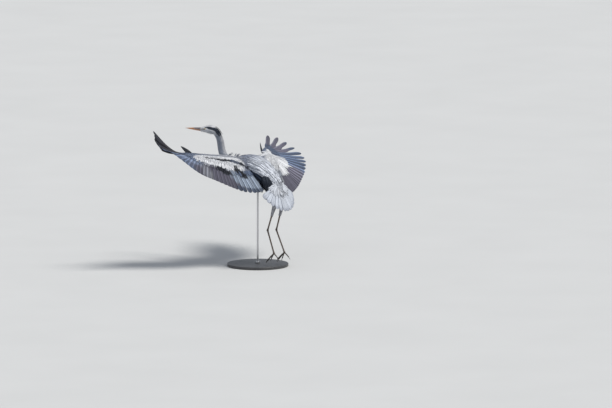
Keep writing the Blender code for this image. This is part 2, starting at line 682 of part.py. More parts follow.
for side, joints in LEGS.items():
    hip, knee, ankle, ball = (Vector(p) for p in joints)
    fleshy_end = knee.lerp(ankle, FEATHERED_SHARE)
    line = [hip, hip.lerp(knee, 0.5), hip.lerp(knee, 0.85), knee.lerp(fleshy_end, 0.2),
            knee.lerp(fleshy_end, 0.6), fleshy_end]
    thigh = round_loft(f"thigh_{side}", line, THIGH_RADII, GREY_PLUMAGE, sides=14)
    cut(thigh, trunk_cutter)
    down = (ankle - knee).normalized()
    shank_line = [fleshy_end + down * GAP, fleshy_end.lerp(ankle, 0.5), fleshy_end.lerp(ankle, 0.86),
                  ankle - down * GAP / 2]
    round_loft(f"shank_{side}", shank_line, SHANK_RADII, LEG_BROWN)
    shank_cutter = round_loft(
        f"shank_cutter_{side}", shank_line[:3] + [ankle + down * GAP], [r + GAP for r in SHANK_RADII], None, cutters
    )
    along = (ball - ankle).normalized()
    tarsus_line = [ankle + down * GAP * 1.5 + along * 0.001, ankle.lerp(ball, 0.12), ankle.lerp(ball, 0.85),
                   ball - along * FOOT_ABOVE]
    cut(round_loft(f"tarsus_{side}", tarsus_line, TARSUS_RADII, LEG_BROWN), shank_cutter)
    foot_line = [ball - along * (FOOT_ABOVE - GAP), ball, ball + along * FOOT_BELOW]
    foot = round_loft(f"foot_{side}", foot_line, FOOT_RADII, LEG_BROWN)
    mirror = 1 if side == "left" else -1
    for name, (turn, drop, length, radius) in TOES.items():
        way = toe_way(turn * mirror, drop)
        curl = Vector((0, 0, -TOE_CURL))
        knots = [ball + way * length * s + curl * s * s for s in (-0.02, 0.3, 0.65, 1.0)]
        toe = round_loft(f"toe_{name}_{side}", knots, [radius * s for s in TOE_TAPER], None, cutters, 8)
        join = foot.modifiers.new("joined to " + name, "BOOLEAN")
        join.operation, join.solver, join.object = "UNION", "EXACT", toe
        tip = (knots[3] - knots[2]).normalized()
        start = knots[3] + tip * GAP
        bend = Vector((0, 0, -CLAW_BEND))
        nail = [start, start + tip * CLAW_LENGTH * 0.5 + bend * 0.25, start + tip * CLAW_LENGTH + bend]
        round_loft(f"claw_{name}_{side}", nail, (CLAW_RADIUS, CLAW_RADIUS * 0.75, 0.0004), CLAW_BLACK, sides=6)


# ---------------------------------------------------------------- stand
for piece in (*heron.objects, *cutters.objects):
    piece.location += BIRD_AT


def turned(name, profile, look, steps=20):
    """A solid turned about the stand's axis from (radius, height) pairs, given from the top down."""
    mesh = bpy.data.meshes.new(name)
    count = len(profile)
    mesh.from_pydata([(r, 0, z) for r, z in profile], [(k, k + 1) for k in range(count - 1)], [])
    obj = place(bpy.data.objects.new(name, mesh), look)
    spin = obj.modifiers.new("turned", "SCREW")
    spin.steps = spin.render_steps = steps
    spin.use_merge_vertices = True
    spin.merge_threshold = 0.00005
    spin.use_smooth_shade = True
    return obj


turned("stand_base", [
    (0.0, BASE_THICK), (BASE_RADIUS - BASE_EDGE, BASE_THICK), (BASE_RADIUS, BASE_THICK - BASE_EDGE),
    (BASE_RADIUS, BASE_EDGE), (BASE_RADIUS - BASE_EDGE, 0.0), (0.0, 0.0),
], BASE_BLACK, 48)
collar_foot = BASE_THICK + GAP
turned("stand_collar", [
    (ROD_RADIUS + GAP, collar_foot), (ROD_RADIUS + GAP, collar_foot + COLLAR_HEIGHT),
    (COLLAR_RADIUS - COLLAR_EDGE, collar_foot + COLLAR_HEIGHT),
    (COLLAR_RADIUS, collar_foot + COLLAR_HEIGHT - COLLAR_EDGE),
    (COLLAR_RADIUS, collar_foot), (ROD_RADIUS + GAP, collar_foot),
], ROD_STEEL)
turned("stand_rod", [(0.0, ROD_TOP), (ROD_RADIUS, ROD_TOP), (ROD_RADIUS, BASE_THICK + GAP), (0.0, BASE_THICK + GAP)],
       ROD_STEEL)
socket = turned("rod_socket", [(0.0, ROD_TOP + GAP), (ROD_RADIUS + GAP, ROD_TOP + GAP), (ROD_RADIUS + GAP, 0.40),
                               (0.0, 0.40)], None)
place(socket, None, cutters)
cut(trunk, socket)
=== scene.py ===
"""A life-size grey heron coming in to land, held over a round base by one rod: its skin, plumage, quills,
bill, eyes, legs and stand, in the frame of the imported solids. Metres, +Z up; the bird heads along -Y."""
import itertools
import math

import bmesh
import bpy
import numpy as np
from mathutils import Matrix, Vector
from mathutils.kdtree import KDTree


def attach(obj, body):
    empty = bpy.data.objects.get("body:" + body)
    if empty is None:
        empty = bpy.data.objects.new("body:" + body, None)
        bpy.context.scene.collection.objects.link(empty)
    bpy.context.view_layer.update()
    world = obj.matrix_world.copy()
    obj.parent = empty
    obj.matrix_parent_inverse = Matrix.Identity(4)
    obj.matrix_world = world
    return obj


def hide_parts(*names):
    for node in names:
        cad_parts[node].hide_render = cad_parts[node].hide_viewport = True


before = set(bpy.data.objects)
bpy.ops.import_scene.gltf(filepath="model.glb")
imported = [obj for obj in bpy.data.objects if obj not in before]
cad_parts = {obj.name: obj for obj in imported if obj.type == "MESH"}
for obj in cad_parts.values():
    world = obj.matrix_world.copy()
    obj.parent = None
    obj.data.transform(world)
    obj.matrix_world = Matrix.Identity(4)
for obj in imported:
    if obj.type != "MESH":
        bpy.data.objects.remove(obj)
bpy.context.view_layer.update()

chance = np.random.default_rng(7)

# ---------------------------------------------------------------- skin
# The heron's bare skin over trunk, neck, head, wing arms and thighs, thin and pinkish grey under the plumage.
# One closed surface, inside the plumage's outline by the coat's depth: lofts along the spine, the wing bones
# and the legs, joined by exact unions.
BIRD_AT = np.array((0.0, 0.050, 0.020))
SPINE = [
    # x, y, z, half width, above, below
    (0.000, 0.146, 0.492, 0.017, 0.008, 0.012),
    (0.000, 0.120, 0.532, 0.036, 0.022, 0.030),
    (0.000, 0.070, 0.569, 0.053, 0.038, 0.050),
    (0.000, 0.010, 0.602, 0.065, 0.051, 0.066),
    (0.000, -0.050, 0.630, 0.070, 0.054, 0.075),
    (0.000, -0.110, 0.650, 0.067, 0.045, 0.073),
    (0.000, -0.165, 0.657, 0.052, 0.034, 0.058),
    (0.001, -0.212, 0.657, 0.038, 0.028, 0.042),
    (0.002, -0.262, 0.655, 0.029, 0.026, 0.032),
    (0.004, -0.310, 0.662, 0.0250, 0.0250, 0.0275),
    (0.007, -0.341, 0.691, 0.0230, 0.0245, 0.0250),
    (0.011, -0.352, 0.732, 0.0220, 0.0235, 0.0240),
    (0.020, -0.353, 0.775, 0.0210, 0.0230, 0.0230),
    (0.034, -0.356, 0.811, 0.0190, 0.0225, 0.0225),
    (0.054, -0.368, 0.843, 0.0190, 0.0265, 0.0265),
    (0.071, -0.391, 0.853, 0.0205, 0.0315, 0.0285),
    (0.080, -0.419, 0.8545, 0.0185, 0.0240, 0.0230),
    (0.0915, -0.458, 0.8530, 0.0105, 0.0125, 0.0150),
]
COAT_DEPTH = (  # station along the spine, and how deep the skin lies under the plumage's outline there
    (0, 0.004), (3, 0.012), (6, 0.010), (8, 0.006), (12, 0.0045), (14.2, 0.0030), (16, 0.0014), (17, 0.0005),
)
BREAST_STATION, HEAD_STATION, BILL_STATION = 7.0, 14.2, 17.0
EYE_RADIUS, EYE_STATION, EYE_OUT, EYE_UP = 0.0058, 16.1, 0.0128, 0.0045
EYE_LOOKS_UP, EYE_LOOKS_AHEAD = 0.10, 0.22  # against straight out
LID_OPENING = 50  # degrees from the eye's axis to the lid's rim
LID_THICK, LID_FOLD = 0.0005, 0.0004
LID_REACH, SOCKET_REACH = 1.9, 0.86  # in the eye's radii
LEGS = {  # hip, knee, ankle and ball of the foot
    "left": ((0.042, 0.062, 0.560), (0.028, 0.131, 0.430), (0.033, 0.0625, 0.228), (0.030, 0.114, 0.081)),
    "right": ((-0.046, 0.062, 0.560), (-0.060, 0.120, 0.423), (-0.052, 0.065, 0.222), (-0.054, 0.132, 0.080)),
}
THIGH_START = (0.024, 0.036, 0.588)  # inside the trunk, on the left
THIGH_RADII = (0.017, 0.033, 0.034, 0.023, 0.0165, 0.0115, 0.0075)
THIGH_COAT = 0.0035
FEATHERED_SHARE = 0.50  # of the tibia


def unit(v):
    return v / np.maximum(np.linalg.norm(v, axis=-1, keepdims=True), 1e-12)


def smooth_curve(stations, values):
    """A function that runs smoothly through values at the rising stations; it takes arrays of places."""
    at, rows = np.asarray(stations, float), np.asarray(values, float)
    slopes = np.gradient(rows, at, axis=0)

    def value(where):
        where = np.asarray(where, float)
        k = np.clip(np.searchsorted(at, where) - 1, 0, len(at) - 2)
        span = (at[k + 1] - at[k])[..., None]
        u = (where - at[k])[..., None] / span
        return (rows[k] * (1 + 2 * u) * (1 - u) ** 2 + slopes[k] * span * u * (1 - u) ** 2
                + rows[k + 1] * u * u * (3 - 2 * u) + slopes[k + 1] * span * u * u * (u - 1))

    return value


spine = smooth_curve(range(len(SPINE)), SPINE)
coat_depth = smooth_curve(*zip(*((s, (d,)) for s, d in COAT_DEPTH)))


def spine_axes(station):
    """The spine's way ahead, to the left and up at these stations."""
    ahead = unit(spine(station + 0.02)[..., :3] - spine(station - 0.02)[..., :3])
    left = unit(np.array((1.0, 0.0, 0.0)) - ahead * ahead[..., :1])
    return ahead, left, np.cross(ahead, left)


def body(station, turn, rise=0.0):
    """Points on the plumage's outline, turn degrees round from the left over the back, moved out by rise."""
    here, angle = spine(station), np.radians(turn)
    _, left, top = spine_axes(station)
    wide = (here[..., 3] + rise) * np.cos(angle)
    tall = (np.where(np.sin(angle) > 0, here[..., 4], here[..., 5]) + rise) * np.sin(angle)
    return BIRD_AT + here[..., :3] + left * wide[..., None] + top * tall[..., None]


def leg_line(side):
    """The feathered part of a leg, from inside the trunk down, in world places."""
    start, (hip, knee, ankle, _) = np.array(THIGH_START), (np.array(p) for p in LEGS[side])
    end = knee + (ankle - knee) * FEATHERED_SHARE
    start[0] *= np.sign(hip[0])
    return BIRD_AT + np.array((start, hip, hip + (knee - hip) * 0.5, hip + (knee - hip) * 0.85,
                               knee + (end - knee) * 0.2, knee + (end - knee) * 0.6, end))


def tube(line, radii, at, turn, rise=0.0):
    """Points on a round limb: at runs 0 to 1 along line, turn is in degrees round it."""
    knots = np.linspace(0, 1, len(line))
    path, thick = smooth_curve(knots, line), smooth_curve(knots, np.array(radii)[:, None])
    ahead = unit(path(at + 0.005) - path(at - 0.005))
    left = unit(np.cross(ahead, np.array((0.0, 1.0, 0.1))))
    top = np.cross(left, ahead)
    angle = np.radians(turn)[..., None]
    return path(at) + (left * np.cos(angle) + top * np.sin(angle)) * (thick(at) + np.asarray(rise)[..., None])


def placed(name, data):
    """A new object in the scene."""
    made = bpy.data.objects.new(name, data)
    bpy.context.scene.collection.objects.link(made)
    return made


def loft(name, rings):
    """A closed mesh object through rings of points, an array of rings by points by three."""
    count, around = rings.shape[:2]
    row, col = np.meshgrid(np.arange(count - 1), np.arange(around), indexing="ij")
    nxt = (col + 1) % around
    here, beyond = row * around, (row + 1) * around
    quads = np.stack([here + col, here + nxt, beyond + nxt, beyond + col], -1)
    caps = [list(range(around))[::-1], list(range((count - 1) * around, count * around))]
    mesh = bpy.data.meshes.new(name)
    mesh.from_pydata(rings.reshape(-1, 3).tolist(), [], quads.reshape(-1, 4).tolist() + caps)
    form = bmesh.new()
    form.from_mesh(mesh)
    bmesh.ops.recalc_face_normals(form, faces=form.faces)
    form.to_mesh(mesh)
    form.free()
    mesh.shade_smooth()
    return placed(name, mesh)


def round_grid(first, last, count, around):
    """Places from first to last along a limb, and degrees round it, as two grids."""
    turns = np.linspace(0, 360, around, endpoint=False)
    return np.meshgrid(np.linspace(first, last, count), turns, indexing="ij")


def eye_place(side):
    """The middle of an eye and the way it looks."""
    ahead, left, top = spine_axes(np.array(EYE_STATION))
    out = left * (1 if side == "left" else -1)
    middle = BIRD_AT + spine(np.array(EYE_STATION))[:3] + out * EYE_OUT + top * EYE_UP
    return middle, unit(out + top * EYE_LOOKS_UP + ahead * EYE_LOOKS_AHEAD)


def around_eyes(points):
    """Skin drawn over each eyeball, and in behind it where the lids are open."""
    for side in LEGS:
        middle, axis = eye_place(side)
        away = points - middle
        far = np.linalg.norm(away, axis=-1, keepdims=True)
        way = away / far
        opened = way @ axis > math.cos(math.radians(LID_OPENING))
        fold = LID_FOLD * np.exp(-((far / EYE_RADIUS - 1.25) * 4) ** 2)
        lid = np.maximum(far, EYE_RADIUS + LID_THICK + fold)
        drawn = np.where(opened[..., None], np.minimum(far, EYE_RADIUS * SOCKET_REACH), lid)
        points = np.where(far < EYE_RADIUS * LID_REACH, middle + way * drawn, points)
    return points


stations = np.concatenate([np.linspace(0.02, BREAST_STATION, 110),
                           np.linspace(BREAST_STATION, HEAD_STATION, 130)[1:],
                           np.linspace(HEAD_STATION, BILL_STATION, 130)[1:]])
turns = np.linspace(0, 360, 96, endpoint=False)
grid = body(*np.meshgrid(stations, turns, indexing="ij"), -coat_depth(stations))
skin = loft("skin", around_eyes(grid))


def join_on(whole, piece):
    """Joins piece to whole by an exact union, and removes piece."""
    step = whole.modifiers.new("join", "BOOLEAN")
    step.operation, step.solver, step.object = "UNION", "EXACT", piece
    graph = bpy.context.evaluated_depsgraph_get()
    joined = bpy.data.meshes.new_from_object(whole.evaluated_get(graph))
    whole.modifiers.clear()
    whole.data = joined
    bpy.data.objects.remove(piece, do_unlink=True)


for side in LEGS:
    at, turn = round_grid(0, 0.99, 40, 36)
    join_on(skin, loft("thigh_skin", tube(leg_line(side), THIGH_RADII, at, turn, -THIGH_COAT * (1.15 - at))))

# ---------------------------------------------------------------- wings: arm and hand
# Each wing's shoulder, elbow, wrist and hand, with the fan that its flight feathers make and the padding of
# coverts over the arm: the same lines as in the solids. The skin of the arm, drawn over bones and muscle,
# joins the rest.
WING_BONES = {
    "left": ((0.040, -0.105, 0.666), (0.213, -0.148, 0.689), (0.333, -0.310, 0.724), (0.461, -0.319, 0.744)),
    "right": ((-0.040, -0.105, 0.666), (-0.219, -0.116, 0.655), (-0.334, -0.285, 0.673),
              (-0.439, -0.361, 0.684)),
}
BONE_SHARES = (0.0, 0.30, 0.62, 1.0)
WRIST = BONE_SHARES[2]
FAN_SHARES = (0.05, 0.14, 0.23, 0.32, 0.42, 0.52, 0.63, 0.72, 0.80, 0.88, 0.95, 1.0)
FANS = {  # sweep ahead of straight out, rise above level, length, lift of the tip
    "left": (
        (-86, -84, -70, -59.5, -45.5, -37.5, -27, -19, -10.5, -7, -6.5, -5),
        (-45, -48.5, -46.5, -39.5, -28, -19, -3.5, 4.5, 6.5, 9, 12, 15.5),
        (0.260, 0.265, 0.265, 0.264, 0.267, 0.277, 0.286, 0.292, 0.307, 0.328, 0.316, 0.306),
        (0.003, 0.004, 0.006, 0.006, 0.006, 0.008, 0.012, 0.018, 0.032, 0.066, 0.087, 0.102),
    ),
    "right": (
        (-94, -95.5, -88, -81, -70, -59, -54, -42, -20, 8, 27.5, 41),
        (-58, -60, -60, -58, -52, -42, -28, -21, -15.5, -8, -1.5, 1),
        (0.260, 0.265, 0.265, 0.268, 0.280, 0.298, 0.308, 0.306, 0.316, 0.345, 0.349, 0.310),
        (0.002, 0.002, 0.003, 0.005, 0.006, 0.008, 0.010, 0.014, 0.020, 0.030, 0.040, 0.040),
    ),
}
COVERT_SHARE = 0.30  # how far out on the quills the padding ends, at REAR_SHARES along the arm
REAR_SHARES = (0.0, 0.10, 0.20, 0.30, 0.41, 0.52, 0.62)
HAND_REAR, HAND_ROUND, HAND_PLANE_SHARE = 0.006, 0.35, 0.72
ARM_THICK = (0.046, 0.034, 0.022, 0.006)  # at shoulder, elbow, wrist and hand's end
EDGE_AHEAD = (0.030, 0.066, 0.016, 0.005)  # the leading edge before the bones, at the same four
REAR_THICK, WEB_THICK = 0.0036, 0.0010
UPPER_PART = 0.6  # of the wing's thickness lies over its middle surface
EDGE_SLOPE = 0.35  # how much of the quills' slope the plane of the arm takes


class Wing:
    """The lie of one wing in world places. A share runs from the shoulder, 0, to the hand's end, 1."""

    def __init__(self, side):
        self.side, self.out = side, 1.0 if side == "left" else -1.0
        self.bone = smooth_curve(BONE_SHARES, np.array(WING_BONES[side]) + BIRD_AT)
        self.fan = smooth_curve(FAN_SHARES, np.array(FANS[side]).T)
        self.thick = smooth_curve(BONE_SHARES, np.array(ARM_THICK)[:, None])
        joints = np.array(BONE_SHARES)
        ahead = self.rearward(joints) * -np.array(EDGE_AHEAD)[:, None]
        self.edge = smooth_curve(joints, self.bone(joints) + ahead)
        rooted = np.maximum(REAR_SHARES, FAN_SHARES[0])
        behind = self.bone(REAR_SHARES) + self.feather(rooted, COVERT_SHARE) - self.bone(rooted)
        self.arm_rear = smooth_curve(REAR_SHARES, behind)

    def direction(self, share):
        sweep, rise = np.moveaxis(np.radians(self.fan(share)[..., :2]), -1, 0)
        level = np.cos(rise)
        return np.stack([self.out * np.cos(sweep) * level, -np.sin(sweep) * level, np.sin(rise)], -1)

    def feather(self, share, along):
        """A point on the flight feather rooted at share; along is 0 at its root and 1 at its tip."""
        share, along = np.asarray(share, float), np.asarray(along, float)[..., None]
        fan = self.fan(share)
        bend = fan[..., 3:4] * along**2 * np.array((0.0, 0.0, 1.0))
        return self.bone(share) + self.direction(share) * fan[..., 2:3] * along + bend

    def rearward(self, share):
        along_bone = unit(self.bone(np.minimum(share + 0.02, 1.0)) - self.bone(np.maximum(share - 0.02, 0.0)))
        way = self.direction(np.clip(share, FAN_SHARES[0], HAND_PLANE_SHARE)) * (1.0, 1.0, EDGE_SLOPE)
        return unit(way - along_bone * (way * along_bone).sum(-1, keepdims=True))

    def rear(self, share):
        """The rear edge of the padding: where the coverts end behind the arm, then in to the hand's end."""
        wrist = np.array(WRIST)
        start, end = self.arm_rear(wrist), self.bone(1.0) + self.rearward(np.array(1.0)) * HAND_REAR
        way = unit(start - self.arm_rear(wrist - 0.02)) * np.linalg.norm(end - start) * HAND_ROUND
        t = np.maximum((np.asarray(share) - WRIST) / (1 - WRIST), 0)[..., None]
        hand = start * (1 - t) ** 2 + (start + way) * 2 * t * (1 - t) + end * t * t
        return np.where(t > 0, hand, self.arm_rear(np.minimum(share, WRIST)))

    def sheet(self, share, reach):
        """The wing's middle surface: reach is 0 at the leading edge, 1 behind the padding, 2 at the tips."""
        share, reach = np.broadcast_arrays(np.asarray(share, float), np.asarray(reach, float))
        front, bone, rear = self.edge(share), self.bone(share), self.rear(share)
        fore = np.linalg.norm(bone - front, axis=-1)
        behind = np.linalg.norm(rear - bone, axis=-1)
        at = np.clip(fore / (fore + behind), 0.15, 0.6)[..., None]
        bent = (bone - front * (1 - at) ** 2 - rear * at**2) / (2 * at * (1 - at))
        chord = np.clip(reach, 0, 1)[..., None]
        padded = front * (1 - chord) ** 2 + bent * 2 * chord * (1 - chord) + rear * chord**2
        near, out = behind / self.fan(share)[..., 2], np.maximum(reach - 1, 0)
        offset = (rear - self.feather(share, near)) * np.maximum(1 - 1.1 * out, 0)[..., None]
        quill = self.feather(share, near + (1 - near) * out) + offset
        return np.where(reach[..., None] <= 1, padded, quill)

    def upward(self, share, reach):
        """Straight out of the wing's upper side."""
        step = 0.012
        back = np.minimum(reach + step, 1.99)
        span = self.sheet(share + step, reach) - self.sheet(share - step, reach)
        chord = self.sheet(share, back) - self.sheet(share, back - 2 * step)
        return unit(np.cross(span, chord)) * self.out

    def height(self, share, reach):
        """How far the wing's upper surface lies above its middle surface."""
        chord = np.clip(reach, 0, 1)
        full = np.sqrt(chord) * (1 - chord) * 1.75
        padding = (self.thick(share)[..., 0] * full + REAR_THICK * np.minimum(1, 0.3 + chord)) * UPPER_PART
        web = WEB_THICK + (REAR_THICK * UPPER_PART - WEB_THICK) * np.exp(-(reach - 1) * 9)
        return np.where(reach <= 1, padding, web)

    def upper(self, share, reach, rise=0.0):
        high = self.height(share, reach)
        return self.sheet(share, reach) + self.upward(share, reach) * (high + rise)[..., None]

    def under(self, share, reach, rise=0.0):
        low = self.height(share, reach) / UPPER_PART * (1 - UPPER_PART)
        return self.sheet(share, reach) - self.upward(share, reach) * (low + rise)[..., None]


ARM_SKIN_CHORD, ARM_SKIN_TOP, ARM_SKIN_UNDER = (0.06, 0.80), 0.72, -0.48  # the last two in the wing's height
wings = {side: Wing(side) for side in WING_BONES}
for wing in wings.values():
    there = np.linspace(*ARM_SKIN_CHORD, 16)
    chords = np.concatenate([there, there[::-1]])
    is_top = np.arange(len(chords)) < len(there)
    rings = []
    for share in np.linspace(0.0, 0.97, 90):
        spot = np.full(len(chords), share)
        lift = wing.height(spot, chords) * np.where(is_top, ARM_SKIN_TOP, ARM_SKIN_UNDER)
        rings.append(wing.sheet(spot, chords) + wing.upward(spot, chords) * lift[:, None])
    join_on(skin, loft("arm_skin", np.array(rings)))

# ---------------------------------------------------------------- lids
# The bare rims of the eyelids: a fine ring of skin round each open eye, drawn tight over the ball, so that
# the lids end in an edge and not in a crease. They join the one skin.
RIM_RADIUS, RIM_POINTS, RIM_SIDES = 0.00065, 64, 10
RIM_WIDE, RIM_HIGH = 1.06, 0.96  # the opening is a little wider than high


def ring_of_lid(side):
    """The rim of the lids round one eye, a fine closed ring."""
    middle, axis = eye_place(side)
    across = unit(np.cross(axis, (0.0, 0.0, 1.0)))
    up = np.cross(across, axis)
    around, turn = np.meshgrid(np.linspace(0, 2 * np.pi, RIM_POINTS, endpoint=False),
                               np.linspace(0, 2 * np.pi, RIM_SIDES, endpoint=False), indexing="ij")
    away = across * np.cos(around)[..., None] * RIM_WIDE + up * np.sin(around)[..., None] * RIM_HIGH
    opening = math.radians(LID_OPENING)
    rim = middle + (away * math.sin(opening) + axis * math.cos(opening)) * (EYE_RADIUS + 0.0001)
    points = rim + (away * np.cos(turn)[..., None] + axis * np.sin(turn)[..., None]) * RIM_RADIUS
    quads = [[i % RIM_POINTS * RIM_SIDES + j % RIM_SIDES
              for i, j in ((a, b), (a, b + 1), (a + 1, b + 1), (a + 1, b))]
             for a in range(RIM_POINTS) for b in range(RIM_SIDES)]
    mesh = bpy.data.meshes.new("lid")
    mesh.from_pydata(points.reshape(-1, 3).tolist(), [], quads)
    mesh.shade_smooth()
    return placed("lid", mesh)


lids = [ring_of_lid(side) for side in LEGS]
with bpy.context.temp_override(active_object=skin, selected_editable_objects=[skin, *lids]):
    bpy.ops.object.join()
skin.data.shade_smooth()

# ---------------------------------------------------------------- plumage colours on the skin
# The heron's colours by place, carried by feathers and by the skin under them, so no gap shows pale. Grey
# back, black band between flank and belly, dashes down the white foreneck, black brow stripes, whitish wing
# coverts painted white as if sunlit and broken by black lines, slate and brown quills. Painted shade greys
# the white cheeks and lies under the lifted greater coverts, over the quills' dark bases; a painted highlight
# pales the back of the neck, and the right wing's fingers carry painted light shining through them.
GREY = np.array((0.215, 0.235, 0.300))
WHITE = np.array((0.780, 0.785, 0.810))
BLACK = np.array((0.022, 0.026, 0.036))
INK = np.array((0.030, 0.038, 0.058))
PALE = np.array((0.480, 0.500, 0.545))
BLUE = np.array((0.180, 0.220, 0.310))
ASH = np.array((0.235, 0.280, 0.350))
SLATE = np.array((0.088, 0.116, 0.182))
UMBER = np.array((0.085, 0.078, 0.102))
CHAR = np.array((0.026, 0.023, 0.027))
# The cheeks' grey is painted shade on white cheeks.
NECK_GREY, CHEEK_SHADE_GREY, LORE = (0.30, 0.33, 0.40), (0.33, 0.37, 0.44), (0.085, 0.088, 0.080)
MARKS = {  # colour, from and to on the wing as share and reach, half width in metres, strength
    "left": (
        (UMBER, (0.42, 1.62), (0.22, 1.75), 0.090, 0.9),  # brown secondaries
        (ASH, (0.21, 1.35), (0.03, 1.75), 0.055, 0.95),  # tertials and their dark tips
        (SLATE * 0.6, (0.25, 1.90), (0.04, 2.02), 0.024, 0.85),
        (PALE * 0.60, (0.500, 1.10), (0.455, 1.95), 0.022, 0.45),  # a pale panel at the first slate quills
        (BLUE, (0.56, 0.30), (0.74, 0.85), 0.046, 0.9),  # wrist and hand
        (BLUE * 1.1, (0.60, 1.20), (0.82, 1.50), 0.050, 0.6),
        (WHITE, (0.20, 0.66), (0.50, 0.72), 0.060, 1.0),  # coverts, their whitish grey painted white as if sunlit, then the leading edge
        (WHITE, (0.46, 0.86), (0.55, 0.95), 0.030, 1.0),
        (WHITE, (0.05, 0.07), (0.56, 0.07), 0.020, 1.0),
        (BLACK, (0.49, 0.56), (0.38, 0.57), 0.0065, 0.85),  # the broken line, from the wrist in
        (BLACK * 0.8, (0.38, 0.57), (0.25, 0.54), 0.0095, 1.0),
        (SLATE * 0.7, (0.24, 0.54), (0.14, 0.66), 0.0110, 0.95),
        (BLACK, (0.14, 0.62), (0.085, 0.86), 0.0110, 0.95),
        (BLACK * 0.7, (0.215, 0.98), (0.160, 1.26), 0.0185, 1.0),  # two patches of painted shadow under the lifted greater coverts, over the quills' dark bases
        (BLACK * 0.7, (0.378, 1.12), (0.335, 1.24), 0.0205, 1.0),
        (CHAR, (0.87, 1.45), (1.0, 1.95), 0.078, 0.97),  # the fingers
    ),
    "right": (
        (UMBER, (0.50, 1.70), (0.24, 1.75), 0.080, 0.9),  # brown secondaries
        (PALE * 0.80, (0.21, 1.35), (0.03, 1.75), 0.055, 0.95),  # tertials and their dark tips
        (BLACK, (0.25, 1.93), (0.06, 2.03), 0.010, 0.7),
        (BLUE, (0.56, 0.30), (0.72, 0.60), 0.040, 0.9),  # wrist
        (WHITE, (0.20, 0.62), (0.56, 0.72), 0.060, 1.0),  # coverts, their whitish grey painted white as if sunlit, then the leading edge
        (WHITE, (0.40, 0.98), (0.70, 1.02), 0.028, 1.0),
        (WHITE * 0.9, (0.22, 0.34), (0.62, 0.36), 0.026, 0.9),
        (WHITE, (0.62, 0.50), (0.82, 0.60), 0.028, 1.0),
        (WHITE, (0.05, 0.07), (0.55, 0.07), 0.020, 1.0),
        (BLACK, (0.14, 0.62), (0.085, 0.86), 0.0105, 0.9),  # two patches near the body; the second is painted shadow under the greater coverts, over the quills' dark bases
        (BLACK, (0.215, 0.98), (0.160, 1.26), 0.0140, 0.95),
        (UMBER * 1.7, (0.91, 1.50), (1.0, 1.95), 0.042, 0.80),  # the fingers, a paler purple brown painted for light shining through them from behind
    ),
}
MARK_SCALE = np.array((0.55, 0.15))  # metres for a whole share and a whole reach


def from_back(turn):
    """Degrees from the middle of the back, 0, to the middle of the belly, 180."""
    return np.abs((turn - 90 + 180) % 360 - 180)


def blotted(value, low, high):
    """0 below low, 1 above high, smooth between."""
    t = np.clip((value - low) / (high - low), 0, 1)
    return t * t * (3 - 2 * t)


def blend_to(base, colour, amount):
    return base + (colour - base) * np.clip(amount, 0, 1)[..., None]


def trunk_marks(tone, station, low):
    """Pale back and rump, the black band along the flank, and the white belly and vent."""
    on_trunk = 1 - blotted(station, 6.8, 8.2)
    tone = blend_to(tone, PALE, 0.55 * (1 - blotted(low, 30, 80)) * on_trunk)
    tone = blend_to(tone, PALE * 1.15, 0.9 * (1 - blotted(station, 1.4, 3.0)) * (1 - blotted(low, 70, 100)))
    band = blotted(low, 88, 100) * (1 - blotted(low, 140, 152))
    tone = blend_to(tone, BLACK, band * blotted(station, 1.0, 2.0) * on_trunk)
    tone = blend_to(tone, WHITE, blotted(low, 142, 154) * on_trunk)
    return blend_to(tone, WHITE * 0.92, (1 - blotted(station, 0.8, 2.2)) * blotted(low, 60, 100))


def neck_marks(tone, station, turn, low):
    """Grey neck with a painted highlight, near white, down the back of its upper part; white in front with
    two broken rows of black dashes.
    """
    on_neck = blotted(station, 6.8, 8.2) * (1 - blotted(station, 13.2, 14.6))
    tone = blend_to(tone, NECK_GREY, on_neck)
    # Painted highlight: the back of the upper neck made near white as if sunlit.
    tone = blend_to(tone, WHITE * 0.80, on_neck * (1 - blotted(low, 8, 50)) * blotted(station, 9.0, 10.5))
    tone = blend_to(tone, WHITE * 0.95, on_neck * blotted(low, 128, 150))
    dash = (np.abs(from_back(turn) - 163) < 8) & (np.sin(station * 14.0 + (turn > 270) * 2.2) > -0.1)
    return blend_to(tone, BLACK, dash * (station < 13.0) * on_neck * 0.95)


def head_marks(tone, station, low):
    """White head with painted shade that greys the cheeks, black stripes from the brows to the nape, and
    greenish lores.
    """
    tone = blend_to(tone, WHITE, blotted(station, 13.2, 14.6))
    # Painted shade: the white cheeks made blue grey as if shaded.
    cheek_shade = np.exp(-(((station - 15.0) / 0.9) ** 2)) * np.exp(-(((low - 112) / 26) ** 2))
    tone = blend_to(tone, CHEEK_SHADE_GREY, cheek_shade * 0.65)
    behind_eye = 1 - blotted(station, 15.3, 15.9)
    brow = blotted(low, 42, 49) * (1 - blotted(low, 60 + 16 * behind_eye, 67 + 18 * behind_eye))
    stripe = brow * blotted(station, 13.4, 13.9) * (1 - blotted(station, 16.10, 16.40))
    nape = blotted(station, 13.3, 13.8) * (1 - blotted(station, 13.8, 14.2)) * (1 - blotted(low, 56, 74))
    tone = blend_to(tone, INK, np.maximum(stripe, 0.9 * nape))
    lore = blotted(station, 16.05, 16.25) * (1 - blotted(np.abs(low - 82), 6, 13))
    return blend_to(tone, LORE, lore * 0.95)


def body_marks(station, turn):
    """Colours by place on trunk, neck and head."""
    wavy = from_back(turn) + np.sin(station * 9.0) * 4
    tone = trunk_marks(np.broadcast_to(GREY, (*station.shape, 3)), station, wavy)
    return head_marks(neck_marks(tone, station, turn, wavy), station, from_back(turn))


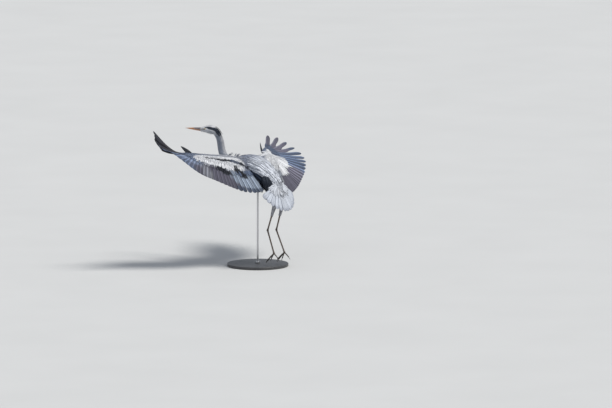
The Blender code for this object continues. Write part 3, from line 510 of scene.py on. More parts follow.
def wing_marks(side, share, reach):
    """Colours by place on the upper side of a wing."""
    share, reach = np.broadcast_arrays(share, reach)
    quill = blend_to(SLATE * np.ones((*share.shape, 1)), SLATE * 0.7, blotted(share, 0.75, 1.0))
    tone = np.where((reach <= 1.0)[..., None], blend_to(GREY, BLUE * 0.75, blotted(share, 0.45, 0.8)), quill)
    here = np.stack([share, reach], -1) * MARK_SCALE
    for colour, start, end, half, strength in MARKS[side]:
        start, run = np.array(start) * MARK_SCALE, (np.array(end) - start) * MARK_SCALE
        t = np.clip(((here - start) @ run) / max(run @ run, 1e-9), 0, 1)
        far = np.linalg.norm(here - start - run * t[..., None], axis=-1)
        tone = blend_to(tone, colour, strength * (1 - blotted(far, half * 0.75, half * 1.15)))
    return tone


def carry_tone(mesh, tone):
    """Keeps a colour at every point of a mesh, under the name that the materials read."""
    colour = np.ones((len(mesh.vertices), 4), np.float32)
    colour[:, :3] = tone.reshape(-1, 3)
    mesh.attributes.new("tone", "FLOAT_COLOR", "POINT").data.foreach_set("color", colour.ravel())


s, t = round_grid(0.02, BILL_STATION, 500, 72)
spots, tones = [body(s, t).reshape(-1, 3)], [body_marks(s, t).reshape(-1, 3)]
for wing in wings.values():
    s, t = np.meshgrid(np.linspace(0.08, 0.97, 120), np.linspace(0, 1, 24), indexing="ij")
    spots += [wing.upper(s, t).reshape(-1, 3), wing.under(s, t).reshape(-1, 3)]
    tones += [wing_marks(wing.side, s, t).reshape(-1, 3), np.broadcast_to(GREY, (s.size, 3))]
for side in LEGS:
    s, t = np.meshgrid(np.linspace(0.2, 1, 40), np.linspace(0, 360, 24), indexing="ij")
    spots.append(tube(leg_line(side), THIGH_RADII, s, t).reshape(-1, 3))
    tones.append(np.broadcast_to(WHITE * 0.5, (s.size, 3)))
spots, tones = np.concatenate(spots), np.concatenate(tones)
nearest = KDTree(len(spots))
for number, spot in enumerate(spots):
    nearest.insert(spot, number)
nearest.balance()
carry_tone(skin.data, np.array([tones[nearest.find(vertex.co)[1]] for vertex in skin.data.vertices]))


def node(tree, kind, *given, **settings):
    """A shader node whose inputs are filled in order with sockets or plain values; None leaves one alone."""
    made = tree.nodes.new("ShaderNode" + kind)
    for key, value in settings.items():
        setattr(made, key, value)
    for place, value in enumerate(given):
        if isinstance(value, bpy.types.NodeSocket):
            tree.links.new(value, made.inputs[place])
        elif value is not None:
            made.inputs[place].default_value = value
    return made


def maths(tree, operation, *given):
    return node(tree, "Math", *given, operation=operation).outputs[0]


def mixed(tree, factor, first, second, blend="MIX"):
    """One colour mixed into another."""
    made = node(tree, "Mix", data_type="RGBA", blend_type=blend)
    for place, value in ((0, factor), (6, first), (7, second)):
        if isinstance(value, bpy.types.NodeSocket):
            tree.links.new(value, made.inputs[place])
        else:
            made.inputs[place].default_value = value
    return made.outputs[2]


def ramp(tree, value, *stops):
    """A colour ramp over value: stops are (place, colour) pairs."""
    made = node(tree, "ValToRGB", value)
    points = made.color_ramp.elements
    while len(points) < len(stops):
        points.new(0.5)
    for point, (place, colour) in zip(points, stops):
        point.position, point.color = place, (*colour, 1.0)
    return made.outputs[0]


def finish_of(name, **values):
    """A material with one Principled shader; values are set on that shader's own sockets."""
    made = bpy.data.materials.new(name)
    made.use_nodes = True
    shader = made.node_tree.nodes["Principled BSDF"]
    for key, value in values.items():
        shader.inputs[key.replace("_", " ")].default_value = value
    return made, made.node_tree, shader


def noise(tree, scale, detail, stretch=None):
    """A noise mask in the object's own coordinates; stretch is how fast it runs along each axis."""
    place = node(tree, "TexCoord").outputs["Object"]
    if stretch:
        place = node(tree, "Mapping", place, None, None, stretch).outputs[0]
    return node(tree, "TexNoise", place, None, scale, detail).outputs["Fac"]


def cells(tree, scale, feature="F1"):
    """The distance in a cell pattern over the object's own coordinates."""
    place = node(tree, "TexCoord").outputs["Object"]
    return node(tree, "TexVoronoi", place, None, scale, feature=feature).outputs["Distance"]


def carried(tree):
    """The colour that the mesh carries."""
    return node(tree, "Attribute", attribute_name="tone").outputs["Color"]


def wire(tree, shader, colour, rough=None, relief=None):
    """Links a shader's colour, its roughness by (mask, low, high), its relief by (mask, strength, depth)."""
    tree.links.new(colour, shader.inputs["Base Color"])
    if rough:
        mask, low, high = rough
        tree.links.new(ramp(tree, mask, (0.3, (low,) * 3), (0.7, (high,) * 3)), shader.inputs["Roughness"])
    if relief:
        mask, strength, depth = relief
        tree.links.new(node(tree, "Bump", strength, depth, None, mask).outputs[0], shader.inputs["Normal"])


skin_look, tree, shader = finish_of("bare_skin", Specular_IOR_Level=0.4)
goose, blotch = cells(tree, 420.0), noise(tree, 60.0, 5.0)
flesh = ramp(tree, blotch, (0.3, (0.30, 0.27, 0.25)), (0.7, (0.44, 0.40, 0.36)))
flesh = mixed(tree, 0.25, flesh, ramp(tree, goose, (0.0, (0.6, 0.5, 0.45)), (0.6, (0.3, 0.3, 0.3))))
wire(tree, shader, mixed(tree, 0.85, flesh, carried(tree)), (blotch, 0.55, 0.75), (goose, 0.5, 0.0006))
skin.data.materials.clear()
skin.data.materials.append(skin_look)
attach(skin, "root")
flesh_nodes = [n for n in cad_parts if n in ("trunk", "head") or n.startswith(("neck_", "thigh_"))
               or n.endswith(("upper_arm", "forearm", "hand"))]
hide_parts(*flesh_nodes)

# ---------------------------------------------------------------- trunk, neck and head plumage
# Contour feathers in rows from the face to the rump, each a thin closed vane that starts in the coat and lies
# over the roots behind it: almost hairs on the face, long and loose on the breast and belly.


def vanes(name, centre, normal, half, tone, root, crown=0.08, thick=0.0005, tilt=0.0, shaft=0.0,
          columns=(-1.0, 0.0, 1.0), patch=(0.003, 0.003)):
    """One mesh of closed feather vanes. centre, normal and tone are feathers by rows by three, half is
    feathers by rows by two (half widths each side of the shaft), root is each root's place on the bake's map,
    0 to 1. crown, thick, tilt and shaft shape a vane across, at columns; patch is its size on the map."""
    count, rows = centre.shape[:2]
    across = np.array(columns)
    last = len(across) - 1
    ring = np.concatenate([across, across[-2:0:-1]])
    is_top = np.arange(2 * last) <= last
    along = unit(np.gradient(centre, axis=1))
    side = unit(np.cross(along, normal))
    upright = np.cross(side, along)
    step = np.linspace(0, 1, rows)[None, :, None]
    wide = np.where(ring > 0, half[..., 1:], half[..., :1]) * ring
    high = crown * half.mean(-1)[..., None] * (1 - ring**2) + np.reshape(tilt, (-1, 1, 1)) * wide
    quill = shaft * np.exp(-((ring / 0.08) ** 2)) * (1.05 - step)
    high = high + np.where(is_top, 1, -1) * (thick / 2 * np.sqrt(1 - ring**2) * (1.2 - step) + quill)
    points = centre[:, :, None] + side[:, :, None] * wide[..., None] + upright[:, :, None] * high[..., None]
    around, end = 2 * last, (rows - 1) * 2 * last
    faces = []
    for r, c in itertools.product(range(rows - 1), range(around)):
        here, nxt = r * around, (c + 1) % around
        faces.append((here + c, here + around + c, here + around + nxt, here + nxt))
    for c in range(last):
        cap = [c, c + 1, around - 1 - c, (around - c) % around]
        cap = [k for n, k in enumerate(cap) if k not in cap[:n]]
        faces += [cap, [end + k for k in cap[::-1]]]
    sizes = np.tile([len(f) for f in faces], count)
    corners = (np.concatenate(faces)[None] + np.arange(count)[:, None] * rows * around).ravel()
    mesh = bpy.data.meshes.new(name)
    mesh.vertices.add(count * rows * around)
    mesh.vertices.foreach_set("co", points.astype(np.float32).ravel())
    mesh.loops.add(len(corners))
    mesh.loops.foreach_set("vertex_index", corners.astype(np.int32))
    mesh.polygons.add(len(sizes))
    mesh.polygons.foreach_set("loop_start", np.concatenate([[0], np.cumsum(sizes)[:-1]]).astype(np.int32))
    mesh.polygons.foreach_set("use_smooth", np.ones(len(sizes), bool))
    mesh.update(calc_edges=True)
    shape = (count, rows, around)
    tone = tone if tone.ndim == 4 else tone[:, :, None]  # one colour across, or one for each column
    carry_tone(mesh, np.broadcast_to(tone, (*shape, 3)))
    own = chance.random(count)[:, None, None]
    vane = np.stack([np.broadcast_to(part, shape) for part in (ring, step, own)], -1).astype(np.float32)
    mesh.attributes.new("vane", "FLOAT_VECTOR", "POINT").data.foreach_set("vector", vane.ravel())
    within = np.array(patch) * np.stack([vane[..., 0] / 2 + 0.5, vane[..., 1]], -1)
    place = (root[:, None, None] * (1 - np.array(patch)) + within).reshape(-1, 2)[corners].astype(np.float32)
    mesh.uv_layers.new(name="OFBake").data.foreach_set("uv", place.ravel())
    made = placed(name, mesh)
    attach(made, "root")
    return made


# One shared effect for all plumage: barbs that slant off the shaft, a worn paler fringe, the darker line of
# the shaft and a soft mottle, over the colour that each vane carries.
feather_web = bpy.data.node_groups.new("feather_web", "ShaderNodeTree")
for label, value in (("Barbs", 30.0), ("Relief", 0.2), ("Fringe", 0.3), ("Shaft", 0.3), ("Roughness", 0.6)):
    given = feather_web.interface.new_socket(label, in_out="INPUT", socket_type="NodeSocketFloat")
    given.default_value = value
for label, kind in (("Colour", "Color"), ("Roughness", "Float"), ("Normal", "Vector")):
    feather_web.interface.new_socket(label, in_out="OUTPUT", socket_type="NodeSocket" + kind)
web_in, web_out = feather_web.nodes.new("NodeGroupInput"), feather_web.nodes.new("NodeGroupOutput")
vane_at = node(feather_web, "Attribute", attribute_name="vane").outputs["Vector"]
parts = node(feather_web, "SeparateXYZ", vane_at)  # across the vane, down it, and each feather's own number
off_shaft = maths(feather_web, "ABSOLUTE", parts.outputs[0])
slanted = maths(feather_web, "MULTIPLY_ADD", off_shaft, -0.16, parts.outputs[1])
wander = noise(feather_web, 90.0, 3.0)
slanted = maths(feather_web, "MULTIPLY_ADD", wander, 0.04, slanted)
phase = maths(feather_web, "MULTIPLY_ADD", slanted, web_in.outputs["Barbs"],
              maths(feather_web, "MULTIPLY", parts.outputs[2], 40.0))
wave = maths(feather_web, "SINE", maths(feather_web, "MULTIPLY", phase, 6.283))
barb = maths(feather_web, "MULTIPLY_ADD", wave, 0.5, 0.5)


def ranged(value, *span, **settings):
    """value carried from one range to another, as a shader node."""
    return node(feather_web, "MapRange", value, *span, **settings).outputs[0]


rim = ranged(off_shaft, 0.70, 1.0, 0.0, 1.0, interpolation_type="SMOOTHSTEP")
end = ranged(parts.outputs[1], 0.92, 1.0, 0.0, 1.0, interpolation_type="SMOOTHSTEP")
rim = maths(feather_web, "MULTIPLY", maths(feather_web, "MAXIMUM", rim, end), web_in.outputs["Fringe"])
line = maths(feather_web, "MULTIPLY", ranged(off_shaft, 0.03, 0.11, 1.0, 0.0), web_in.outputs["Shaft"])
shade, mottle = ranged(barb, 0.0, 1.0, 0.87, 1.06), ranged(wander, 0.25, 0.75, 0.88, 1.10)
own = ranged(parts.outputs[2], 0.0, 1.0, 0.90, 1.08)
shade = maths(feather_web, "MULTIPLY", maths(feather_web, "MULTIPLY", shade, own), mottle)
grey = node(feather_web, "CombineColor", shade, shade, shade).outputs[0]
tint = mixed(feather_web, 1.0, carried(feather_web), grey, "MULTIPLY")
tint = mixed(feather_web, rim, tint, mixed(feather_web, 1.0, tint, (1.50, 1.55, 1.65, 1.0), "MULTIPLY"))
tint = mixed(feather_web, line, tint, mixed(feather_web, 0.6, tint, (0.02, 0.02, 0.025, 1.0)))
rough = maths(feather_web, "MULTIPLY_ADD", barb, 0.10, web_in.outputs["Roughness"])
raised = node(feather_web, "Bump", web_in.outputs["Relief"], 0.0004, None, barb).outputs[0]
for label, given in (("Colour", tint), ("Roughness", rough), ("Normal", raised)):
    feather_web.links.new(given, web_out.inputs[label])


def plumage(name, barbs, relief, fringe, shaft, roughness=0.62):
    """A plumage material on the shared effect: barbs down a vane, how far they stand up, how pale its fringe
    and how dark its shaft are."""
    look, tree, shader = finish_of(name, Sheen_Weight=0.05, Sheen_Roughness=0.5, Specular_IOR_Level=0.20)
    web = node(tree, "Group", node_tree=feather_web)
    for label, value in (("Barbs", barbs), ("Relief", relief), ("Fringe", fringe), ("Shaft", shaft),
                         ("Roughness", roughness)):
        web.inputs[label].default_value = value
    for out, socket in (("Colour", "Base Color"), ("Roughness", "Roughness"), ("Normal", "Normal")):
        tree.links.new(web.outputs[out], shader.inputs[socket])
    return look


body_look = plumage("body_plumage", 14.0, 0.18, 0.20, 0.08, 0.68)
ROUND = (-1e3, 1e3)  # degrees round a body have no limit
BODY_STEPS, BODY_LIMITS = (0.01, 0.5), ((0.02, BILL_STATION), ROUND)
ROOT_CURVE = 1.6  # how soon a feather rises from its root in the coat


def walk(surface, u, v, steps, limits, lie, length, rows):
    """Places down feathers rooted at (u, v) on surface and running along lie, as feathers by rows: both of
    the surface's own coordinates, and how far a feather has run straight on past the surface's limits."""
    trail = [(u, v, np.zeros_like(u))]
    for _ in range(rows - 1):
        u, v, over = trail[-1]
        here = surface(u, v)
        by_u = (surface(u + steps[0], v) - here) / steps[0]
        by_v = (surface(u, v + steps[1]) - here) / steps[1]
        uu, uv, vv = (by_u**2).sum(-1), (by_u * by_v).sum(-1), (by_v**2).sum(-1)
        pu, pv = (lie * by_u).sum(-1), (lie * by_v).sum(-1)
        du, dv = pu * vv - pv * uv, pv * uu - pu * uv
        stride = length / (rows - 1)
        scale = stride / np.linalg.norm(by_u * du[:, None] + by_v * dv[:, None], axis=-1)
        du, dv = du * scale, dv * scale
        kept = np.ones_like(u)
        for place, change, (low, high) in ((u, du, limits[0]), (v, dv, limits[1])):
            room = np.where(change > 0, high - place, place - low)
            kept = np.minimum(kept, room / np.maximum(np.abs(change), 1e-9)).clip(0, 1)
        trail.append((u + du * kept, v + dv * kept, over + stride * (1 - kept)))
    return [np.stack(column, 1) for column in zip(*trail)]


def faces_of(surface, u, v, steps, sign=1.0):
    """Outward normals of a surface at (u, v)."""
    by_u = surface(u + steps[0], v) - surface(u - steps[0], v)
    by_v = surface(u, v + steps[1]) - surface(u, v - steps[1])
    return unit(np.cross(by_v, by_u)) * sign


def laid(name, surface, steps, trail, lie, rise, half, tone, root, sign=1.0, **kind):
    """Vanes that follow a walked trail over a surface, rise off it, and run straight on where it stops."""
    us, vs, over = trail
    centre = surface(us, vs, rise) + lie[:, None] * over[..., None]
    return vanes(name, centre, faces_of(surface, us, vs, steps, sign), half, tone, root, **kind)


def outline(rows, half, tip=0.5, base=0.45, ending=0.985):
    """Half widths down a vane: narrow at its root, full in the middle, rounded off from tip to the end."""
    t = np.linspace(0, 1, rows)
    grow = base + (1 - base) * np.sin(np.clip(t / 0.4, 0, 1) * np.pi / 2)
    close = np.sqrt(1 - (np.clip((t - tip) / (1.0 - tip), 0, 1) * ending) ** 2)
    return (np.reshape(half, (-1, 1)) * grow * close)[..., None] * np.ones(2)


def varied(tone, low, high, many):
    """Each feather of many a little lighter or darker."""
    return tone * chance.uniform(low, high, (many, 1, 1))


def rooted(tone, step, depth):
    """Feathers darker at their roots, where the coat shades them."""
    return tone * (1 - depth + depth * step[None, :, None])


def strew(starts, width_at, around_at):
    """Roots in staggered rows, as many in each as fit around it. Gives rows' places, and 0 to 1 round."""
    us, vs = [], []
    for k, s in enumerate(starts):
        many = max(int(around_at(s) / width_at(s)), 4)
        vs.append((np.arange(many) + 0.5 * (k % 2) + chance.uniform(-0.30, 0.30, many)) / many)
        us.append(np.full(many, s) + chance.uniform(-0.45, 0.45, many) * (starts[1] - starts[0]))
    return np.concatenate(us), np.concatenate(vs)


EYE_CLEARANCE = 1.20  # in the eye's radii
LORES_START, LORES_MIDDLE = 16.25, 82  # station, degrees from the back
LORES_HALF, LORES_WIDEN = 3.0, 8  # degrees, and how many more for each station


def body_coat(name, first, last, pitch, spacing, half, length, rows, proud, tip=0.5):
    """Rows of contour feathers from station first, nearest the tail, to last; sizes at the two ends."""
    def at(pair, s):
        return pair[0] + (pair[1] - pair[0]) * (s - first) / (last - first)

    span = np.linspace(first, last, 400)
    run = np.concatenate([[0], np.cumsum(np.linalg.norm(np.diff(spine(span)[:, :3], axis=0), axis=-1))])
    starts, walked = [], 0.0
    while walked < run[-1]:
        starts.append(float(np.interp(walked, run, span)))
        walked += at(pitch, starts[-1])
    u, v = strew(np.array(starts), lambda s: at(spacing, s),
                 lambda s: 2 * np.pi * spine(np.array(s))[3:6].mean())
    turn, places = v * 360, body(u, v * 360)
    lores = LORES_HALF + LORES_WIDEN * (u - LORES_START)
    kept = (u <= LORES_START) | (np.abs(from_back(turn) - LORES_MIDDLE) >= lores)
    for side in LEGS:
        kept &= np.linalg.norm(places - eye_place(side)[0], axis=-1) > EYE_RADIUS * EYE_CLEARANCE
    u, turn = u[kept], turn[kept]
    many = len(u)
    ahead, left, top = spine_axes(u)
    loose = chance.normal(0, 0.10, (2, many, 1))
    lie = unit(-ahead + left * loose[0] + top * loose[1])
    long = at(length, u) * chance.uniform(0.84, 1.14, many)
    trail = walk(body, u, turn, BODY_STEPS, BODY_LIMITS, lie, long, rows)
    us, vs, _ = trail
    step = np.linspace(0, 1, rows)
    sunk = coat_depth(us[:, :1])[..., 0] * 0.7
    rise = -sunk * (1 - step) ** ROOT_CURVE + proud * (step + chance.uniform(-0.4, 0.4, many)[:, None])
    tone = varied(body_marks(us[:, :1] * 0.5 + us[:, -1:] * 0.5, vs[:, :1]), 0.90, 1.08, many)
    root = np.stack([(u - first) / (last - first), turn / 360 % 1], -1).clip(0, 1)
    widths = outline(rows, at(half, u) * chance.uniform(0.85, 1.12, many), tip)
    made = laid(name, body, BODY_STEPS, trail, lie, rise, widths, rooted(tone, step, 0.16), root,
                tilt=chance.normal(0, 0.08, many), thick=0.0005 if last < 10 else 0.0003)
    made.data.materials.append(body_look)


body_coat("trunk_plumage", 0.10, 7.3, (0.0080, 0.0056), (0.0080, 0.0052), (0.0066, 0.0040),
          (0.044, 0.030), 7, 0.0012)
body_coat("neck_plumage", 7.0, 14.4, (0.0048, 0.0034), (0.0044, 0.0030), (0.0034, 0.0021),
          (0.027, 0.015), 6, 0.0007, 0.4)
body_coat("head_plumage", 14.1, 16.98, (0.0024, 0.0012), (0.0020, 0.0011), (0.0013, 0.0006),
          (0.0115, 0.0038), 5, 0.0003, 0.3)

# ---------------------------------------------------------------- thigh plumage
# Long blue-black feathers over the top of each thigh, then soft pale ones down half of the tibia, which
# shorten and end in a neat cuff.
THIGH_LINES, THIGH_PITCH = np.linspace(0.06, 0.965, 50), 0.0062  # rows down the leg, and feathers round it
THIGH_TOP, THIGH_LENGTH, THIGH_HALF = (0.16, 0.42), 0.034, 0.0056  # the longer feathers end over this stretch
THIGH_SUNK, THIGH_PROUD = 0.0030, 0.0010
THIGH_DARK_TO, THIGH_DARK, THIGH_WHITE = (0.24, 0.50), (0.020, 0.029, 0.048), WHITE * 0.62
for side in LEGS:
    line, rows = leg_line(side), 6
    limb = lambda at, turn, rise=0.0: tube(line, THIGH_RADII, at, turn, rise)
    u, v = strew(THIGH_LINES, lambda s: THIGH_PITCH * (1.15 - 0.6 * s),
                 lambda s: 2 * np.pi * np.interp(s, np.linspace(0, 1, len(THIGH_RADII)), THIGH_RADII))
    many, turn, high_up = len(u), v * 360, 1 - blotted(u, *THIGH_TOP)
    lie = unit(limb(u + 0.02, turn) - limb(u, turn) + chance.normal(0, 0.0012, (many, 3)))
    long = (THIGH_LENGTH * (1 + high_up) - 0.018 * u) * chance.uniform(0.85, 1.1, many)
    trail = walk(limb, u, turn, BODY_STEPS, ((0.0, 1.0), ROUND), lie, long, rows)
    step = np.linspace(0, 1, rows)
    rise = THIGH_PROUD * step - THIGH_SUNK * (1 - step) ** ROOT_CURVE
    rise = rise + chance.uniform(-0.0004, 0.0004, (many, 1))
    tone = blend_to(np.broadcast_to(THIGH_WHITE, (many, 3)), GREY, blotted(u, 0.3, 0.9) * 0.35)
    tone = blend_to(tone, THIGH_DARK, (1 - blotted(u, *THIGH_DARK_TO)) * 0.97)
    tone = rooted(varied(tone[:, None], 0.88, 1.08, many), step, 0.16)
    widths = outline(rows, THIGH_HALF * (1.15 - 0.65 * u) * (1 - 0.38 * high_up), 0.4)
    cuff = laid(f"thigh_plumage_{side}", limb, BODY_STEPS, trail, lie, rise, widths, tone,
                np.stack([u, v % 1], -1), tilt=chance.normal(0, 0.08, many))
    cuff.data.materials.append(body_look)

# ---------------------------------------------------------------- flank plumes
# Long, loose blue-black feathers that hang back from the flanks, under each wing's root and over the top of
# the thigh, and the axillaries, which hang from the armpit inside the tertials and close the hollow there.
# Their blue-black is partly the flanks' own black and partly painted shade of the hollow between wing and
# thigh.
FLANK_PLUMES, FLANK_STATIONS, FLANK_TURNS = 460, (1.8, 5.6), (84, 134)  # degrees from the middle of the back
FLANK_LENGTHS, FLANK_HALVES, FLANK_LIFTS = (0.085, 0.175), (0.0050, 0.0080), (0.004, 0.022)
FLANK_SPLAY, FLANK_FALL, FLANK_INK_AND_SHADE = 0.16, 0.26, np.array((0.024, 0.034, 0.056))
many, rows = FLANK_PLUMES, 10
u, low = chance.uniform(*FLANK_STATIONS, many), chance.uniform(*FLANK_TURNS, many)
flank = chance.choice((-1, 1), many)
ahead, left, top = spine_axes(u)
lie = unit(-ahead + left * (FLANK_SPLAY * flank + chance.normal(0, 0.06, many))[:, None] - top * FLANK_FALL
           + top * chance.normal(0, 0.06, (many, 1)))
long = chance.uniform(*FLANK_LENGTHS, many) * (0.45 + 0.55 * blotted(u, 2.0, 3.4))
trail = walk(body, u, 90 - low * flank, BODY_STEPS, ((0.4, BILL_STATION), ROUND), lie, long, rows)
t = np.linspace(0, 1, rows)
rise = -0.006 * (1 - t) ** 2 + chance.uniform(*FLANK_LIFTS, (many, 1)) * t * blotted(low, 84, 100)[:, None]
# The flanks' own black with painted shade: these plumes fill the shaded hollow.
tone = varied(FLANK_INK_AND_SHADE, 0.6, 2.0, many)
drapes = laid("flank_plumes", body, BODY_STEPS, trail, lie, rise,
              outline(rows, chance.uniform(*FLANK_HALVES, many), 0.35), tone,
              np.stack([u / 6, low * flank / 280 + 0.5], -1), tilt=chance.normal(0, 0.12, many))
drapes.data.materials.append(body_look)

AXILLARIES, AXILLARY_LENGTHS, AXILLARY_HALVES = 26, (0.178, 0.128), (0.0075, 0.0100)
AXILLARY_FAN, AXILLARY_DROOP = (0.02, 0.50), 0.012  # how far the first turns in, and the last further
for side, wing in wings.items():
    many, rows = AXILLARIES, 14
    k, t = np.linspace(0, 1, many), np.linspace(0, 1, rows)
    start = wing.sheet(0.045 + 0.03 * chance.random(many), np.full(many, 0.92))
    start = start - wing.upward(np.array(0.07), np.array(0.9)) * 0.006
    inwards = np.array((-wing.out, 0.0, 0.0)) * (AXILLARY_FAN[0] + AXILLARY_FAN[1] * k)[:, None]
    way = unit(wing.direction(np.full(many, 0.06)) + inwards)
    long = np.interp(k, (0, 1), AXILLARY_LENGTHS) * chance.uniform(0.90, 1.05, many)
    centre = start[:, None] + way[:, None] * (long[:, None] * t)[..., None]
    centre = centre - np.array((0.0, 0.0, AXILLARY_DROOP)) * (t * t)[:, None]
    normal = np.broadcast_to(wing.upward(np.array(0.08), np.array(1.2)), centre.shape)
    # Painted shade: the axillaries made blue-black so the hollow inside the tertials reads dark.
    tone = varied(INK, 0.7, 1.5, many)
    armpit = vanes(f"axillary_plumes_{side}", centre, normal,
                   outline(rows, chance.uniform(*AXILLARY_HALVES, many), 0.6), tone, np.stack([k, 0 * k], -1),
                   tilt=chance.normal(0, 0.10, many), patch=(0.05, 1.0))
    armpit.data.materials.append(body_look)

# ---------------------------------------------------------------- wing quills
# Six tertials, fourteen secondaries and ten primaries on each wing, each a stiff web on a tapering horn
# shaft. Each shows its narrow outer vane from above, since that lies over the next feather out; the four
# outermost primaries narrow past a notch and part like fingers.
TERTIALS, SECONDARIES, PRIMARIES, FINGERS = 6, 14, 10, 4
TERTIAL_START, SECONDARY_START, PRIMARY_START, PRIMARY_END = 0.078, 0.30, 0.635, 0.985
NOTCHES = {"left": 0.70, "right": 0.46}  # how far out along the outermost feather the notch is
NOTCH_STEPS = {"left": 0.02, "right": 0.07}  # and how much further out it is on each feather inwards
OUTER_VANE, OUTER_MOST, OUTER_FINGER = 0.62, 0.015, 0.0112  # share of the gap, widest, and past the notch
INNER_VANE, INNER_MOST, INNER_FINGER = 1.12, 0.027, 0.0175
QUILL_COLUMNS = (-1.0, -0.55, -0.07, 0.0, 0.07, 0.55, 1.0)
QUILL_STEPS, TIP_STEPS = 36, 12  # down a whole quill, and in its tip's round end
QUILL_START, TIP_REACH = 0.60, 1.80  # reach at the root and where the tip's steps start
EDGE_GAIN = {"left": 1.35, "right": 2.5}  # how much paler the outer vane's edge is
TIP_DARK = {"left": 0.55, "right": 0.10}  # how much blacker the fingers' ends are; little on the right, whose fingers carry painted light shining through
quill_look = plumage("flight_quills", 110.0, 0.30, 0.55, 0.7, 0.55)
quill_at = np.concatenate([
    np.linspace(TERTIAL_START, SECONDARY_START, TERTIALS, endpoint=False),
    np.linspace(SECONDARY_START, PRIMARY_START, SECONDARIES, endpoint=False),
    np.linspace(PRIMARY_START, PRIMARY_END, PRIMARIES),
])


def in_line(count):
    """Roots for the bake's map: stiff feathers side by side along its foot, each running up it."""
    return np.stack([np.linspace(0, 1, count), np.zeros(count)], -1)


for side, wing in wings.items():
    count, rows = len(quill_at), QUILL_STEPS
    rounding = TIP_REACH + (2 - TIP_REACH) * np.sin(np.linspace(0, np.pi / 2, TIP_STEPS))
    reach = np.concatenate([np.linspace(QUILL_START, TIP_REACH, rows - TIP_STEPS, endpoint=False), rounding])
    share = np.broadcast_to(quill_at[:, None], (count, rows))
    at = np.broadcast_to(reach, share.shape)
    centre = wing.sheet(share, at)
    gap = np.linalg.norm(np.diff(centre, axis=0), axis=-1)
    outward, inward = np.concatenate([gap, gap[-1:]]), np.concatenate([gap[:1], gap])
    out = np.clip(at - 1, 0, 1)
    number = np.arange(count)[:, None]
    finger = blotted(number, count - FINGERS - 1.0, count - FINGERS)
    place = NOTCHES[side] + NOTCH_STEPS[side] * (count - 1 - number)
    notch = finger * blotted(out, place - 0.14, place + 0.06)
    outer = np.minimum(outward * OUTER_VANE, OUTER_MOST) * (1 - notch) + OUTER_FINGER * notch
    inner = np.minimum(inward * INNER_VANE, INNER_MOST) * (1 - notch) + INNER_FINGER * notch
    tip = 0.90 - 0.10 * blotted(number, count - PRIMARIES, count)
    close = np.sqrt(1 - (np.clip((out - tip) / (1 - tip), 0, 1) * 0.985) ** 2)
    near = np.clip(0.35 + out * 5, 0, 1)
    pair = (inner, outer) if side == "left" else (outer, inner)
    half = np.stack([p * close * near for p in pair], -1)
    rise = np.where(at < 1, 0.0, 0.0008) + 0.00012 * (count - number)
    tone = wing_marks(side, share + chance.normal(0, 0.006, (count, 1)), at)
    tone = varied(tone, 0.80, 1.20, count)
    tone = blend_to(tone, BLACK, (finger * TIP_DARK[side] + 0.15) * blotted(out, 0.62, 0.95))
    around = np.concatenate([QUILL_COLUMNS, QUILL_COLUMNS[-2:0:-1]])
    outer_edge = np.clip(around * wing.out, 0, 1) ** 1.3
    brown = np.exp(-(((share - 0.36) / 0.15) ** 2)) * blotted(out, 0.10, 0.30)
    frosted = EDGE_GAIN[side] * (1 - 0.80 * brown) * (1 - 0.75 * finger)
    frosted = frosted * (0.38 + 0.62 * blotted(share, 0.22, 0.34))
    glow = (frosted[:, :, None] * outer_edge)[..., None]
    tone = tone[:, :, None] * (1 + glow * (1.0, 1.0, 0.98)) * (1 - 0.22 * (glow < 0.02))
    normal = wing.upward(share, np.clip(at, 0.03, 1.96))
    quills = vanes(f"flight_quills_{side}", centre + normal * rise[..., None], normal, half, tone,
                   in_line(count), crown=0.05, tilt=0.075 * wing.out, shaft=0.0009, columns=QUILL_COLUMNS,
                   patch=(0.031, 1.0))
    quills.data.materials.append(quill_look)
    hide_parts(*(f"wing_{side}_{group}" for group in
                          ("tertials", "secondaries", "inner_primaries", "outer_primaries")))

# ---------------------------------------------------------------- wing coverts
# Rows of small, overlapping feathers that shape the wing: marginal, lesser, median and greater coverts over
# arm and hand, and softer grey rows underneath.
UPPER_COVERTS = (
    # name, reach of first and last row, rows, spacing, half width, length, height over the wing
    ("greater", 0.82, 0.93, 2, 0.0115, 0.0088, 0.062, 0.0005),
    ("median", 0.62, 0.76, 3, 0.0100, 0.0076, 0.052, 0.0010),
    ("lesser", 0.26, 0.60, 10, 0.0074, 0.0056, 0.034, 0.0012),
    ("marginal", 0.00, 0.25, 12, 0.0052, 0.0036, 0.021, 0.0006),
)
UNDER_COVERTS = (
    ("under_greater", 0.72, 0.90, 2, 0.0130, 0.0098, 0.078, 0.0004),
    ("under_lesser", 0.24, 0.68, 8, 0.0098, 0.0074, 0.042, 0.0006),
    ("under_marginal", 0.00, 0.22, 8, 0.0062, 0.0046, 0.024, 0.0004),
)
FULL_CHORD = 0.14  # metres of padding behind which the coverts have their full size
LONGER, WIDER, LONGER_FROM, LONGER_TO = 0.85, 1.45, (0.36, 0.50), (0.66, 0.78)  # right wing's greater coverts
MARKS_END = {"left": 1.3, "right": 1.05}  # how far out the coverts take their colours from
covert_look = plumage("wing_coverts", 30.0, 0.25, 0.30, 0.25, 0.62)
WING_STEPS, WING_LIMITS = (0.006, 0.012), ((0.015, 1.0), (0.0, 1.97))


